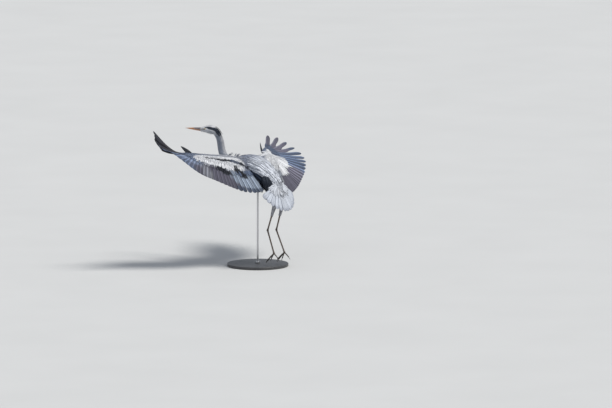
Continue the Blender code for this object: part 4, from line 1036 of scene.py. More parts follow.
def covert_roots(surface, first, last, count, spacing):
    """Roots of the coverts along a wing, in staggered rows."""
    us, vs = [], []
    for k, reach in enumerate(np.linspace(first, last, count)):
        line = np.linspace(0.02, 0.985, 300)
        run = np.cumsum(np.linalg.norm(np.diff(surface(line, np.full(len(line), reach)), axis=0), axis=-1))
        many = int(run[-1] / spacing)
        places = (np.arange(many) + 0.5 * (k % 2) + chance.uniform(-0.25, 0.25, many)) / many * run[-1]
        us.append(np.interp(places, run, line[1:]))
        vs.append(np.full(many, reach) + chance.uniform(-0.4, 0.4, many) * (last - first) / max(count, 3))
    return np.concatenate(us), np.concatenate(vs).clip(0, 1)


def covert_rows(wing, kind, first, last, count, spacing, wide, length, high):
    """One kind of coverts on one wing."""
    is_upper, greater = not kind.startswith("under"), kind == "greater"
    surface = wing.upper if is_upper else wing.under
    longer = greater and wing.side == "right"
    u, v = covert_roots(surface, first, last, count, spacing)
    chord = np.linalg.norm(wing.edge(u) - wing.rear(u), axis=-1) / FULL_CHORD
    kept = chance.random(len(u)) < (1.0 if greater else np.clip(chord, 0.35, 1))
    u, v, chord = u[kept], v[kept], chord[kept]
    many, rows = len(u), 8 if length > 0.05 else 6
    lie = unit(wing.direction(np.maximum(u, 0.05)) + 0.25 * wing.rearward(u) * (1 - v[:, None])
               + chance.normal(0, 0.045, (many, 3)))
    long = length * np.clip(chord, 0.55, 1) ** (0.2 if greater else 0.7) * chance.uniform(0.88, 1.12, many)
    long = long * np.clip((1.03 - u) / 0.14, 0.35, 1)
    if longer:
        middle = blotted(u, *LONGER_FROM) * (1 - blotted(u, *LONGER_TO))
        long = long * (1 + LONGER * middle * chance.uniform(0.7, 1.1, many))
    trail = walk(surface, u, v, WING_STEPS, WING_LIMITS, lie, long, rows)
    us, vs, _ = trail
    step = np.linspace(0, 1, rows)
    sunk = np.minimum(wing.height(us[:, :1], vs[:, :1]) * 0.25, 0.004)
    rise = high * (0.4 + 0.6 * step) - sunk * (1 - step) ** ROOT_CURVE
    rise = rise + chance.uniform(-0.00012, 0.00012, (many, 1))
    if is_upper:
        rise = rise + blotted(vs, 0.86, 1.04) * (0.0026 + 0.0036 * (1 - us))
        tone = wing_marks(wing.side, us[:, -3:-2], vs[:, -3:-2].clip(0, MARKS_END[wing.side]))
        if greater:
            dark = wing_marks(wing.side, us[:, :1], vs[:, :1])[..., 0] < 0.5
            tone = blend_to(tone, SLATE * 1.25, 0.75 * dark)
    else:
        tone = GREY * 1.15
    tone = rooted(varied(tone, 0.88, 1.08, many), step, 0.14)
    widths = wide * np.clip(chord, 0.6, 1) * chance.uniform(0.88, 1.1, many) * (WIDER if longer else 1.0)
    return laid(f"{kind}_coverts_{wing.side}", surface, WING_STEPS, trail, lie, rise,
                outline(rows, widths, 0.5), tone, np.stack([u, v], -1).clip(0, 1),
                -wing.out if is_upper else wing.out, crown=0.04,
                tilt=chance.normal(0, 0.04, many) + 0.03 * wing.out)


for wing in wings.values():
    for kinds, slot in ((UPPER_COVERTS, "white_plumage"), (UNDER_COVERTS, "grey_plumage")):
        for given in kinds:
            coverts = covert_rows(wing, *given)
            coverts.data.materials.append(covert_look)

# ---------------------------------------------------------------- alulae
# Four stiff little quills on each thumb, webs on horn shafts, rooted in the skin of the wrist and overlapping
# like a hand of cards. They stand off the leading edge and keep the air on the wing.
ALULAS = {"left": (0.088, -0.020, 0.044), "right": (-0.040, -0.036, 0.046)}  # from root to tip
ALULA_ROOT, ALULA_QUILLS, ALULA_HALF, ALULA_FAN = 0.645, 4, 0.0090, 0.0062
ALULA_SHORTER, ALULA_LAP = 0.13, 0.0008  # from each quill to the next
ALULA_PITCH = (0.6, 0.8)  # how far its upper side faces up off the wing, and to the rear
for side, wing in wings.items():
    rows = 14
    way, t = np.array(ALULAS[side]), np.linspace(0, 1, rows)[None, :, None]
    wrist_up = wing.upward(np.array(ALULA_ROOT), np.array(0.1))
    lift = wrist_up * ALULA_PITCH[0] + wing.rearward(np.array(ALULA_ROOT)) * ALULA_PITCH[1]
    lift = unit(lift - unit(way) * (lift @ unit(way)))
    across = np.cross(unit(way), lift) * wing.out
    k = np.arange(ALULA_QUILLS)[:, None, None]
    fanned = across * ALULA_FAN * (1.2 - k) * (0.25 + 1.1 * t)
    lapped = lift * ALULA_LAP * (k - ALULA_QUILLS / 2 + 0.5)
    centre = wing.edge(ALULA_ROOT) + wrist_up * 0.002 + way * (1 - ALULA_SHORTER * k) * t + fanned + lapped
    half = outline(rows, np.full(ALULA_QUILLS, ALULA_HALF), 0.60, 0.40)
    tone = np.broadcast_to(BLACK * 0.55, centre.shape)
    thumb = vanes(f"alula_quills_{side}", centre, np.broadcast_to(lift, centre.shape), half, tone,
                  in_line(ALULA_QUILLS), shaft=0.0006, columns=QUILL_COLUMNS, patch=(0.2, 1.0))
    thumb.data.materials.append(quill_look)
    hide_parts(f"wing_{side}_alula")

# ---------------------------------------------------------------- shoulder plumes
# The scapulars: soft grey feathers over the back and, on top of them, long loose lance-shaped plumes that
# hang from the shoulders to the rump, paler than the back.
CAPE_STATIONS = (0.9, 2.0, 3.0, 4.0, 5.0, 6.0, 6.7)
CAPE_WRAP = (22, 62, 84, 96, 100, 92, 70)  # degrees down each side from the middle of the back
CAPE_THICK = (0.0020, 0.0060, 0.0085, 0.0100, 0.0100, 0.0075, 0.0020)
CAPE_CLEARANCE = 0.0022
LANCE_COLUMNS = (-1.0, -0.12, 0.0, 0.12, 1.0)
wrap = smooth_curve(CAPE_STATIONS, np.array(CAPE_WRAP, float)[:, None])
cape_thick = smooth_curve(CAPE_STATIONS, np.array(CAPE_THICK)[:, None])


def on_cape(curve, station):
    return curve(np.clip(station, CAPE_STATIONS[0], CAPE_STATIONS[-1]))[..., 0]


def cape(station, turn, rise=0.0):
    """Points on the top of the shoulder plumes, which swell over the back and thin out at its edge."""
    share = from_back(turn) / on_cape(wrap, station)
    puff = 0.35 + 0.65 * np.sin(np.pi * np.minimum(0.15 + share, 1.0).clip(0, 1)) ** 0.7
    fade = np.exp(-np.maximum(share - 1, 0) * 5)
    thick = np.maximum(on_cape(cape_thick, station), 0)
    return body(station, turn, (CAPE_CLEARANCE + thick * puff) * fade + rise)


plume_look = plumage("shoulder_plumes", 90.0, 0.28, 0.25, 0.30, 0.60)
for name, many, stations_of, lengths, wide, high, tip, sway, rows in (
    ("scapulars", 620, (1.5, 6.9), (0.045, 0.070), 0.0070, 0.0000, 0.5, 0.0, 8),
    ("lance_plumes", 300, (2.8, 6.7), (0.110, 0.210), 0.0042, 0.0016, 0.25, 0.0030, 16),
):
    u = chance.uniform(*stations_of, many)
    share = chance.uniform(-1, 1, many)
    turn = 90 + share * on_cape(wrap, u) * 0.98
    ahead, left, top = spine_axes(u)
    lie = unit(-ahead + left * (-share * 0.10 + chance.normal(0, 0.07, many))[:, None]
               - top * (np.abs(share) * 0.12)[:, None])
    long = chance.uniform(*lengths, many) * (0.75 + 0.25 * (u - 1) / 6)
    us, vs, over = walk(cape, u, turn, BODY_STEPS, ((0.35, BILL_STATION), ROUND), lie, long, rows)
    t = np.linspace(0, 1, rows)
    rise = -0.0035 * (1 - t) ** 2 + high * (0.3 + t) + chance.uniform(-0.0012, 0.0016, (many, 1)) * t
    wave = np.sin(t * 3.0 + chance.uniform(0, 6, (many, 1))) * t * sway
    streak = varied(PALE, 0.95, 1.70, many)
    tone = blend_to(GREY * 1.25 * np.ones((many, rows, 1)), streak, 1 - blotted(us, 3.6, 5.4))
    half = outline(rows, wide * chance.uniform(0.8, 1.15, many), tip, 0.5)
    centre = cape(us, vs, rise) + lie[:, None] * over[..., None] + left[:, None] * wave[..., None]
    strands = vanes(name, centre, faces_of(cape, us, vs, BODY_STEPS), half, tone,
                    np.stack([(u - 1) / 6, turn / 360 % 1], -1).clip(0, 1), crown=0.10,
                    tilt=chance.normal(0, 0.12, many), shaft=0.0002, columns=LANCE_COLUMNS)
    strands.data.materials.append(plume_look)
    if name == "scapulars":
        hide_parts("shoulder_plumes_left", "shoulder_plumes_right")

# ---------------------------------------------------------------- shoulder tufts
# Two little tufts that the wind lifts at the neck's foot: a longer, paler one in front and a shorter, greyer
# one behind it. Loose feathers, each rooted in the coat.
TUFT_FEATHERS, FRONT_FEATHERS = 34, 18
FRONT_STATION, REAR_STATION, TUFT_PARTING, TUFT_TURN = 8.85, 7.40, 8.1, 84
FRONT_LENGTH, REAR_LENGTH, TUFT_HALVES = 0.046, 0.030, (0.0022, 0.0036)
many, rows = TUFT_FEATHERS, 9
u = np.where(np.arange(many) < FRONT_FEATHERS, FRONT_STATION, REAR_STATION) + chance.normal(0, 0.16, many)
turn = TUFT_TURN + chance.normal(0, 16, many)
ahead, left, top = spine_axes(u)
blown = (-ahead * 0.55 + top * 0.9 + left * chance.normal(0, 0.16, (many, 1))
         + ahead * chance.normal(0, 0.16, (many, 1)))
blown, is_rear, t = unit(blown), u < TUFT_PARTING, np.linspace(0, 1, rows)
long = np.where(u > TUFT_PARTING, FRONT_LENGTH, REAR_LENGTH) * chance.uniform(0.6, 1.1, many)
centre = body(u, turn, -0.004)[:, None] + blown[:, None] * (long[:, None] * t)[..., None]
centre = centre - ahead[:, None] * (0.008 * t * t)[None, :, None]
facing = unit(np.cross(left, blown))[:, None] * np.ones((rows, 1))
tone = varied(np.where(is_rear[:, None, None], GREY * 1.4, PALE * 1.25), 0.8, 1.15, many)
tufts = vanes("shoulder_tufts", centre, -facing, outline(rows, chance.uniform(*TUFT_HALVES, many), 0.3), tone,
              np.stack([u / 17, turn / 360], -1), tilt=chance.normal(0, 0.15, many), thick=0.0004)
tufts.data.materials.append(plume_look)

# ---------------------------------------------------------------- tail
# Twelve broad grey quills in a spread fan, lowered as a brake and rolled to one side, the middle pair on
# top, with pale coverts over their roots above and white ones below.
TAIL_FEATHERS, TAIL_LENGTH, TAIL_SPREAD = 12, 0.190, 70.0
TAIL_DROP, TAIL_ROLL, TAIL_HOLLOW = 66, 20, 0.030
TAIL_ROOT, TAIL_ROOT_HALF = (0.0, 0.122, 0.535), 0.020
TAIL_GREY, TAIL_TIP = (0.50, 0.53, 0.59), 0.86  # how far out the tips begin to round off
TAIL_COVERTS, TAIL_COVERT_ROOTS = 380, (-0.12, 0.17)
TAIL_COVERT_LENGTHS, TAIL_COVERT_HALVES = (0.050, 0.086), (0.0036, 0.0056)
drop, roll = math.radians(TAIL_DROP), math.radians(TAIL_ROLL)
tail_back = np.array((0.0, math.cos(drop), -math.sin(drop)))
tail_left = np.array((math.cos(roll), 0.0, math.sin(roll)))
tail_left = unit(tail_left - tail_back * (tail_left @ tail_back))
tail_up = np.cross(tail_left, tail_back)


def tail_place(turn, along, rise=0.0):
    """Points on the tail fan: turn in degrees left of the middle, along from 0 at the root to 1 at a tip."""
    angle, share = np.radians(turn)[..., None], (np.asarray(turn) / TAIL_SPREAD)[..., None]
    out = np.asarray(along)[..., None]
    root = BIRD_AT + TAIL_ROOT + tail_left * TAIL_ROOT_HALF * share
    run = (tail_back * np.cos(angle) + tail_left * np.sin(angle)) * TAIL_LENGTH * (1 - 0.07 * share**2) * out
    return root + run - tail_up * TAIL_HOLLOW * (out * share) ** 2 + tail_up * np.asarray(rise)[..., None]


TAIL_STEPS, TAIL_LIMITS = (0.5, 0.01), ((-90, 90), (-0.3, 1.0))
rows = 26
turns = np.linspace(-TAIL_SPREAD, TAIL_SPREAD, 2 * TAIL_FEATHERS + 1)[1::2]
rounding = TAIL_TIP + (1 - TAIL_TIP) * np.sin(np.linspace(0, np.pi / 2, TIP_STEPS))
along = np.concatenate([np.linspace(-0.04, TAIL_TIP, rows - TIP_STEPS, endpoint=False), rounding])
turn, along = np.broadcast_arrays(turns[:, None], along)
gap = np.linalg.norm(tail_place(turn + 5, along) - tail_place(turn - 5, along), axis=-1)
close = np.sqrt(1 - (np.clip((along - TAIL_TIP) / (1 - TAIL_TIP), 0, 1) * 0.985) ** 2)
lateral, medial = np.minimum(gap * 0.55, 0.017) + 0.002, np.minimum(gap * 0.95, 0.024) + 0.002
is_left = turn > 0
half = np.stack([np.where(is_left, medial, lateral), np.where(is_left, lateral, medial)], -1)
tone = blend_to(np.broadcast_to(TAIL_GREY, (*turn.shape, 3)), GREY * 0.9, blotted(along, 0.80, 1.0) * 0.55)
tone = varied(tone, 0.92, 1.08, TAIL_FEATHERS)
normal = -faces_of(tail_place, turn, along, TAIL_STEPS)
rise = 0.0010 - 0.00022 * np.abs(turn) / 5
tail_look = plumage("tail_quills", 90.0, 0.30, 0.35, 0.45, 0.55)
fan = vanes("tail_quills", tail_place(turn, along, rise), normal, half * close[..., None], tone,
            in_line(TAIL_FEATHERS), crown=0.05, tilt=0.07 * np.sign(turns), shaft=0.0009,
            columns=QUILL_COLUMNS, patch=(0.075, 1.0))
fan.data.materials.append(tail_look)
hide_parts("tail")
for kind, sign, colour in (("upper", 1.0, PALE * 1.22), ("under", -1.0, WHITE)):
    surface = lambda turn, along, rise=0.0: tail_place(turn, along, sign * rise)
    many, rows = TAIL_COVERTS, 10
    u = chance.uniform(-TAIL_SPREAD * 1.05, TAIL_SPREAD * 1.05, many)
    v = chance.uniform(*TAIL_COVERT_ROOTS, many)
    lie = unit(surface(u, v + 0.05) - surface(u, v) + chance.normal(0, 0.0006, (many, 3)))
    long = chance.uniform(*TAIL_COVERT_LENGTHS, many)
    us, vs, _ = walk(surface, u, v, TAIL_STEPS, TAIL_LIMITS, lie, long, rows)
    over_roots = 0.0045 * np.exp(-(vs - 0.02) * 9) * (1 - 0.4 * np.linspace(0, 1, rows))
    rise = 0.0022 + over_roots + chance.uniform(-0.0007, 0.0007, (many, 1))
    tone = varied(colour, 0.88, 1.06, many)
    cover = vanes(f"{kind}_tail_coverts", surface(us, vs, rise), faces_of(surface, us, vs, TAIL_STEPS, -sign),
                  outline(rows, chance.uniform(*TAIL_COVERT_HALVES, many), 0.40), tone,
                  np.stack([u / 150 + 0.5, v * 2.4 + 0.3], -1).clip(0, 1), crown=0.04,
                  tilt=chance.normal(0, 0.04, many))
    cover.data.materials.append(covert_look)

# ---------------------------------------------------------------- crest
# The two long, thin, soft crest plumes of the nape, and the short black feathers that run out behind the brow
# stripes.
CREST_START, CREST_PLUMES = 14.3, ((0.005, 0.068), (-0.005, 0.058))  # how far aside and how long each is
CREST_HALVES, CREST_LIFT, NECK_STATION_LENGTH = (0.0026, 0.0024), (0.0022, 0.006), 0.045
NAPE_FEATHERS, NAPE_STATIONS, NAPE_LENGTHS, NAPE_HALVES = 220, (13.6, 14.8), (0.016, 0.036), (0.0008, 0.0016)
NAPE_TURNS, STRIPE_TURNS, STRIPE_START = (4, 74), (48, 78), 14.1  # degrees from the back
rows = 18
t = np.linspace(0, 1, rows)
centres, normals = [], []
for aside, length in CREST_PLUMES:
    station = CREST_START - length / NECK_STATION_LENGTH * t
    _, left, top = spine_axes(station)
    lifted = (spine(station)[:, 4] + CREST_LIFT[0] + CREST_LIFT[1] * t)[:, None]
    centres.append(BIRD_AT + spine(station)[:, :3] + top * lifted + left * (aside * (1 + t))[:, None])
    normals.append(top)
plumes = vanes("crest_plumes", np.array(centres), np.array(normals), outline(rows, CREST_HALVES, 0.12, 0.6),
               np.broadcast_to(BLACK, (2, rows, 3)), in_line(2), crown=0.25, thick=0.0008, shaft=0.0003,
               columns=LANCE_COLUMNS, patch=(0.4, 1.0))
black_look = plumage("black_plumes", 60.0, 0.12, 0.05, 0.2, 0.50)
plumes.data.materials.append(black_look)
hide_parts("crest_plume_1", "crest_plume_2")
many, rows = NAPE_FEATHERS, 9
u = chance.uniform(*NAPE_STATIONS, many)
low = np.where(u > STRIPE_START, chance.uniform(*STRIPE_TURNS, many), chance.uniform(*NAPE_TURNS, many))
turn = 90 + low * chance.choice((-1, 1), many)
ahead, left, top = spine_axes(u)
lie = unit(-ahead + left * chance.normal(0, 0.12, (many, 1)) + top * 0.05)
trail = walk(body, u, turn, BODY_STEPS, BODY_LIMITS, lie, chance.uniform(*NAPE_LENGTHS, many), rows)
t = np.linspace(0, 1, rows)
rise = -0.0015 * (1 - t) ** 2 + chance.uniform(0.0004, 0.0034, (many, 1)) * t
tone = varied(INK, 0.7, 1.2, many)
nape = laid("nape_plumes", body, BODY_STEPS, trail, lie, rise,
            outline(rows, chance.uniform(*NAPE_HALVES, many), 0.2), tone,
            np.stack([u - 13.7, turn / 360 % 1], -1).clip(0, 1),
            tilt=chance.normal(0, 0.1, many), thick=0.0003)
nape.data.materials.append(black_look)

# ---------------------------------------------------------------- bill
# A long dagger of horn in two halves that meet along a fine closed line: violet grey over the base, orange
# to the tip with a red lower edge; a groove runs forward from the slit of each nostril.
BILL_TIP = np.array((0.123, -0.568, 0.8560)) + BIRD_AT
BILL_WIDTH, BILL_HEIGHT, BILL_GAP, BILL_POINT = 0.0185, 0.0240, 0.0004, 0.035
TOMIUM = 0.00025  # how far the cutting edges stand out
GROOVES = (  # depth, degrees up from the edge, breadth in degrees, where along the bill it begins and ends
    (0.0007, 34, 8, (0.0, 0.05), (0.35, 0.55)),
    (0.0013, 32, 5, (0.07, 0.09), (0.16, 0.19)),
)
BILL_VIOLET, BILL_ORANGE = (0.175, 0.155, 0.165), (0.52, 0.22, 0.075)
BILL_SLIT, BILL_RIDGE, BILL_END = (0.05, 0.045, 0.05), (0.14, 0.11, 0.10), (0.30, 0.20, 0.09)
LOWER_BASE, LOWER_ORANGE, LOWER_RED = (0.33, 0.20, 0.16), (0.50, 0.24, 0.11), (0.55, 0.075, 0.045)
bill_base = BIRD_AT + spine(np.array(BILL_STATION))[:3]
bill_ahead = unit(BILL_TIP - bill_base)
bill_left = unit(np.cross(bill_ahead, (0.0, 0.0, -1.0)))
bill_top = np.cross(bill_ahead, bill_left)
bill_look, tree, shader = finish_of("bill_horn", Coat_Weight=0.25, Coat_Roughness=0.25,
                                    Specular_IOR_Level=0.5)
grown, fleck = noise(tree, 1.0, 4.0, (260.0, 30.0, 260.0)), noise(tree, 700.0, 2.0)
shade = ramp(tree, grown, (0.3, (0.82, 0.80, 0.80)), (0.7, (1.0, 1.0, 1.0)))
horn = mixed(tree, 1.0, carried(tree), shade, "MULTIPLY")
wire(tree, shader, horn, (fleck, 0.34, 0.48), (grown, 0.15, 0.0003))
for name, sign in (("bill_upper", 1), ("bill_lower", -1)):
    t, angle = np.meshgrid(np.linspace(0, 1, 120) ** 0.9, np.linspace(0, 180, 49), indexing="ij")
    turn, low = np.radians(angle), np.minimum(angle, 180 - angle)
    taper = np.maximum(1 - t**1.25, BILL_POINT)
    sunk = np.zeros_like(t)
    for depth, middle, breadth, start, end in GROOVES if sign > 0 else ():
        across = np.exp(-(((low - middle) / breadth) ** 2))
        sunk += depth * across * blotted(t, *start) * (1 - blotted(t, *end))
    wide = BILL_WIDTH / 2 * taper * (1 - 0.10 * np.sin(turn) ** 2) - sunk
    high = BILL_HEIGHT / 2 * taper * (0.93 + 0.07 * np.sin(turn) ** 6) - sunk
    edge = TOMIUM * np.exp(-((low / 5) ** 2)) * taper
    middle = bill_base + (BILL_TIP - bill_base) * t[..., None]
    points = (middle + bill_left * ((wide + edge) * np.cos(turn))[..., None]
              + bill_top * (sign * (BILL_GAP / 2 + high * np.sin(turn)))[..., None])
    half = loft(name + "_horn", points)
    if sign > 0:
        towards_tip = blotted(t + 0.10 * np.cos(np.radians(low)), 0.42, 0.62)
        tone = blend_to(np.broadcast_to(BILL_VIOLET, (*t.shape, 3)), BILL_ORANGE, towards_tip)
        tone = blend_to(tone, BILL_SLIT, blotted(sunk, 0.0008, 0.0016))
        tone = blend_to(tone, BILL_RIDGE, (1 - blotted(90 - low, 4, 16)) * 0.5 * (1 - blotted(t, 0.3, 0.6)))
    else:
        tone = blend_to(np.broadcast_to(LOWER_ORANGE, (*t.shape, 3)), LOWER_RED, blotted(low, 30, 75) * 0.85)
        tone = blend_to(tone, LOWER_BASE, (1 - blotted(t, 0.05, 0.30)) * 0.8)
    carry_tone(half.data, blend_to(tone, BILL_END, blotted(t, 0.86, 1.0) * 0.7))
    half.data.set_sharp_from_angle(angle=math.radians(50))
    half.data.materials.append(bill_look)
    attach(half, "root")
    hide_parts(name)

# ---------------------------------------------------------------- eyes
# Glass-clear eyes with a round black pupil in a bright yellow iris, darker at its rim. Each is a ball whose
# front bulges a little, and the lids hold it.
PUPIL, IRIS_START, IRIS_BRIGHT = 0.40, 0.43, 0.50  # from the axis, in the eye's radii
IRIS_DULL, IRIS_RIM, IRIS_END = 0.66, 0.73, 0.78
EYE_BULGE, BULGE_REACH = 0.03, 0.5  # in eye radii, and in radians from the axis
eye_look, tree, shader = finish_of("eye", Roughness=0.08, Coat_Weight=1.0, Coat_Roughness=0.02,
                                   Specular_IOR_Level=0.6)
local = node(tree, "TexCoord").outputs["Object"]
flat = node(tree, "VectorMath", local, (1 / EYE_RADIUS, 1 / EYE_RADIUS, 0.0), operation="MULTIPLY").outputs[0]
from_axis = node(tree, "VectorMath", flat, operation="LENGTH").outputs["Value"]
around = node(tree, "VectorMath", flat, operation="NORMALIZE").outputs[0]
spoke = node(tree, "TexNoise", around, None, 9.0, 3.0)
from_axis = maths(tree, "MULTIPLY_ADD", spoke.outputs["Fac"], 0.03, from_axis)
iris = ramp(tree, from_axis, (0.0, (0.004,) * 3), (PUPIL, (0.004,) * 3), (IRIS_START, (0.42, 0.22, 0.01)),
            (IRIS_BRIGHT, (0.86, 0.60, 0.045)), (IRIS_DULL, (0.80, 0.52, 0.04)),
            (IRIS_RIM, (0.16, 0.08, 0.01)), (IRIS_END, (0.02, 0.015, 0.01)))
veins = ramp(tree, spoke.outputs["Fac"], (0.35, (0.80,) * 3), (0.65, (1.0,) * 3))
wire(tree, shader, mixed(tree, 1.0, iris, veins, "MULTIPLY"))
for side in LEGS:
    middle, axis = eye_place(side)
    turn, fall = np.meshgrid(np.linspace(0, 2 * np.pi, 64, endpoint=False),
                             np.linspace(0.03, np.pi - 0.03, 48))
    bulge = EYE_RADIUS * (1 + EYE_BULGE * np.exp(-((fall / BULGE_REACH) ** 2)))
    ball = np.stack([np.sin(fall) * np.cos(turn), np.sin(fall) * np.sin(turn), np.cos(fall)], -1)
    eye = loft(f"eyeball_{side}", ball * bulge[..., None])
    eye.location = middle
    eye.rotation_mode = "QUATERNION"
    eye.rotation_quaternion = Vector(axis).to_track_quat("Z", "Y")
    eye.data.materials.append(eye_look)
    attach(eye, "root")
    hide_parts(f"eye_{side}")

# ---------------------------------------------------------------- bare legs and feet
# Shank, knobbly ankle, tarsus and four long toes in one horny skin: broad scutes down the front, small round
# scales behind, brown above and darker at the joints.
SHANK_RADII, SHANK_KNOTS = (0.0056, 0.0050, 0.0052, 0.0078), (0.5, 0.86)
TARSUS_RADII, TARSUS_KNOTS = (0.0072, 0.0052, 0.0048, 0.0070, 0.0030), (0.12, 0.85)
TOES = {  # turn out from straight ahead, drop, length, radius at the root
    "middle": (2, 42, 0.074, 0.0044),
    "inner": (-26, 40, 0.060, 0.0040),
    "outer": (30, 43, 0.064, 0.0040),
    "hind": (176, 34, 0.044, 0.0040),
}
TOE_CURL = 0.006
TOE_KNOTS = (-0.02, 0.15, 0.3, 0.45, 0.65, 0.8, 0.93, 1.0)
TOE_PADS = (0.9, 0.98, 0.84, 0.94, 0.76, 0.84, 0.66, 0.46)
CLAW_LENGTH, CLAW_RADIUS, CLAW_BEND = 0.015, 0.0022, 0.005
CLAW_TAPER = (0.80, 1.0, 0.94, 0.78, 0.55, 0.30, 0.08)
SCUTE_SWELL, SCUTE_GROOVE, SCALE_BUMP = 0.00018, 0.00022, 0.00012
UPPER_LEG, MID_LEG = (0.150, 0.112, 0.088), (0.098, 0.074, 0.062)
ANKLE, TOE = (0.070, 0.046, 0.038), (0.052, 0.043, 0.038)
leg_look, tree, shader = finish_of("leg_skin", Specular_IOR_Level=0.45, Coat_Weight=0.08, Coat_Roughness=0.4)
scale, grime = cells(tree, 620.0, "DISTANCE_TO_EDGE"), noise(tree, 130.0, 4.0)
groove = node(tree, "MapRange", scale, 0.0, 0.12, 0.62, 1.0).outputs[0]
grey = node(tree, "CombineColor", groove, groove, groove).outputs[0]
tint = mixed(tree, 1.0, carried(tree), grey, "MULTIPLY")
dirt = ramp(tree, grime, (0.3, (0.75, 0.75, 0.72)), (0.7, (1.1, 1.08, 1.05)))
tint = mixed(tree, 1.0, tint, dirt, "MULTIPLY")
wire(tree, shader, tint, (grime, 0.48, 0.66), (scale, 0.35, 0.0004))
claw_look, tree, shader = finish_of("claw_horn", Coat_Weight=0.3, Coat_Roughness=0.3)
streak = noise(tree, 300.0, 3.0)
dark_horn = ramp(tree, streak, (0.3, (0.018, 0.015, 0.013)), (0.7, (0.06, 0.048, 0.040)))
wire(tree, shader, dark_horn, (streak, 0.30, 0.45))


def scaled_limb(name, line, radii, rings, plates, front, tones):
    """A round limb with plates of horn across its front; tones are colours at even steps down it."""
    at, turn = round_grid(0, 1, rings, 28)
    phase = (at * plates) % 1
    cut = np.exp(-((np.minimum(phase, 1 - phase) / 0.10) ** 2))
    facing = blotted(np.sin(np.radians(turn)) * front, 0.0, 0.45)
    scutes = facing * (SCUTE_SWELL * (1 - phase) - SCUTE_GROOVE * cut)
    rise = scutes + SCALE_BUMP * chance.normal(0, 1, turn.shape) * (1 - facing)
    made = loft(name, tube(np.array(line), radii, at, turn, rise))
    tone = smooth_curve(np.linspace(0, 1, len(tones)), tones)(at)
    carry_tone(made.data, tone * (1 - 0.35 * (cut * facing))[..., None])
    return made


def between(start, end, shares):
    return [start + (end - start) * share for share in shares]


for side, joints in LEGS.items():
    _, knee, ankle, ball = (np.array(p) + BIRD_AT for p in joints)
    cuff = knee + (ankle - knee) * FEATHERED_SHARE
    along, down = unit(ball - ankle), unit(ankle - knee)
    shank = [cuff - down * 0.01, *between(cuff, ankle, SHANK_KNOTS), ankle + down * 0.002]
    tarsus = [ankle - along * 0.003, *between(ankle, ball, TARSUS_KNOTS), ball, ball + along * 0.005]
    limbs = [scaled_limb("shank_skin", shank, SHANK_RADII, 150, 30, -1, (*[UPPER_LEG] * 2, MID_LEG, ANKLE)),
             scaled_limb("tarsus_skin", tarsus, TARSUS_RADII, 260, 44, -1, (ANKLE, *[MID_LEG] * 3, TOE))]
    for name, (turn, fall, length, radius) in TOES.items():
        out, low = math.radians(turn) * (1 if side == "left" else -1), math.radians(fall)
        way = np.array((math.sin(out) * math.cos(low), -math.cos(out) * math.cos(low), -math.sin(low)))
        knots = [ball + way * length * s + np.array((0.0, 0.0, -TOE_CURL)) * s * s for s in TOE_KNOTS]
        pads, front = radius * np.array(TOE_PADS), 1 if name == "hind" else -1
        limbs.append(scaled_limb("toe_skin", knots, pads, 110, 22, front, (MID_LEG, TOE, TOE)))
        start, tip = knots[-1], unit(knots[-1] - knots[-2])
        nail = [start - tip * 0.002 + tip * CLAW_LENGTH * s + np.array((0.0, 0.0, -CLAW_BEND)) * s**2
                for s in np.linspace(0, 1.1, len(CLAW_TAPER))]
        at, turn = round_grid(0, 1, 30, 20)
        nail = tube(np.array(nail), CLAW_RADIUS * np.array(CLAW_TAPER), at, turn)
        claw = loft(f"claw_horn_{name}_{side}", nail)
        claw.data.materials.append(claw_look)
        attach(claw, "root")
        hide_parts(f"claw_{name}_{side}")
    leg = limbs[0]
    with bpy.context.temp_override(active_object=leg, selected_editable_objects=limbs):
        bpy.ops.object.join()
    leg.name = f"leg_skin_{side}"
    leg.data.materials.append(leg_look)
    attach(leg, "root")
    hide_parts(f"shank_{side}", f"tarsus_{side}", f"foot_{side}")

# ---------------------------------------------------------------- stand
# A turned wooden disc painted satin black with felt under it, one brushed steel rod that runs up into the
# trunk, and a turned steel collar with its grub screw where the rod meets the disc.
BASE_RADIUS, BASE_THICK, BASE_EDGE = 0.200, 0.018, 0.003
FELT, FELT_INSET = 0.0015, 0.006
ROD_RADIUS, ROD_TOP, ROD_EDGE = 0.006, 0.610, 0.0008
COLLAR_RADIUS, COLLAR_HEIGHT, COLLAR_EDGE, FIT = 0.016, 0.014, 0.002, 0.0004
SCREW_PROUD = 0.0006  # how far the grub screw's end stands off the collar
SHARP = math.radians(40)


def turned(name, profile, steps):
    """A closed solid turned about the stand's axis from (radius, height) pairs."""
    profile, angle = np.array(profile, float), np.linspace(0, 2 * np.pi, steps, endpoint=False)
    radius, height = np.maximum(profile[:, :1], 1e-5), profile[:, 1:]
    return loft(name, np.stack([radius * np.cos(angle), radius * np.sin(angle), height + 0 * angle], -1))


def rounded(radius, low, high, edge):
    """The profile of a disc with rounded rims, from the middle of its underside to the middle of its top."""
    turns = np.radians(np.linspace(0, 90, 7))
    under = [(radius - edge + edge * math.sin(a), low + edge - edge * math.cos(a)) for a in turns]
    over = [(radius - edge + edge * math.cos(a), high - edge + edge * math.sin(a)) for a in turns]
    return [(0.0, low), *under, *over, (0.0, high)]


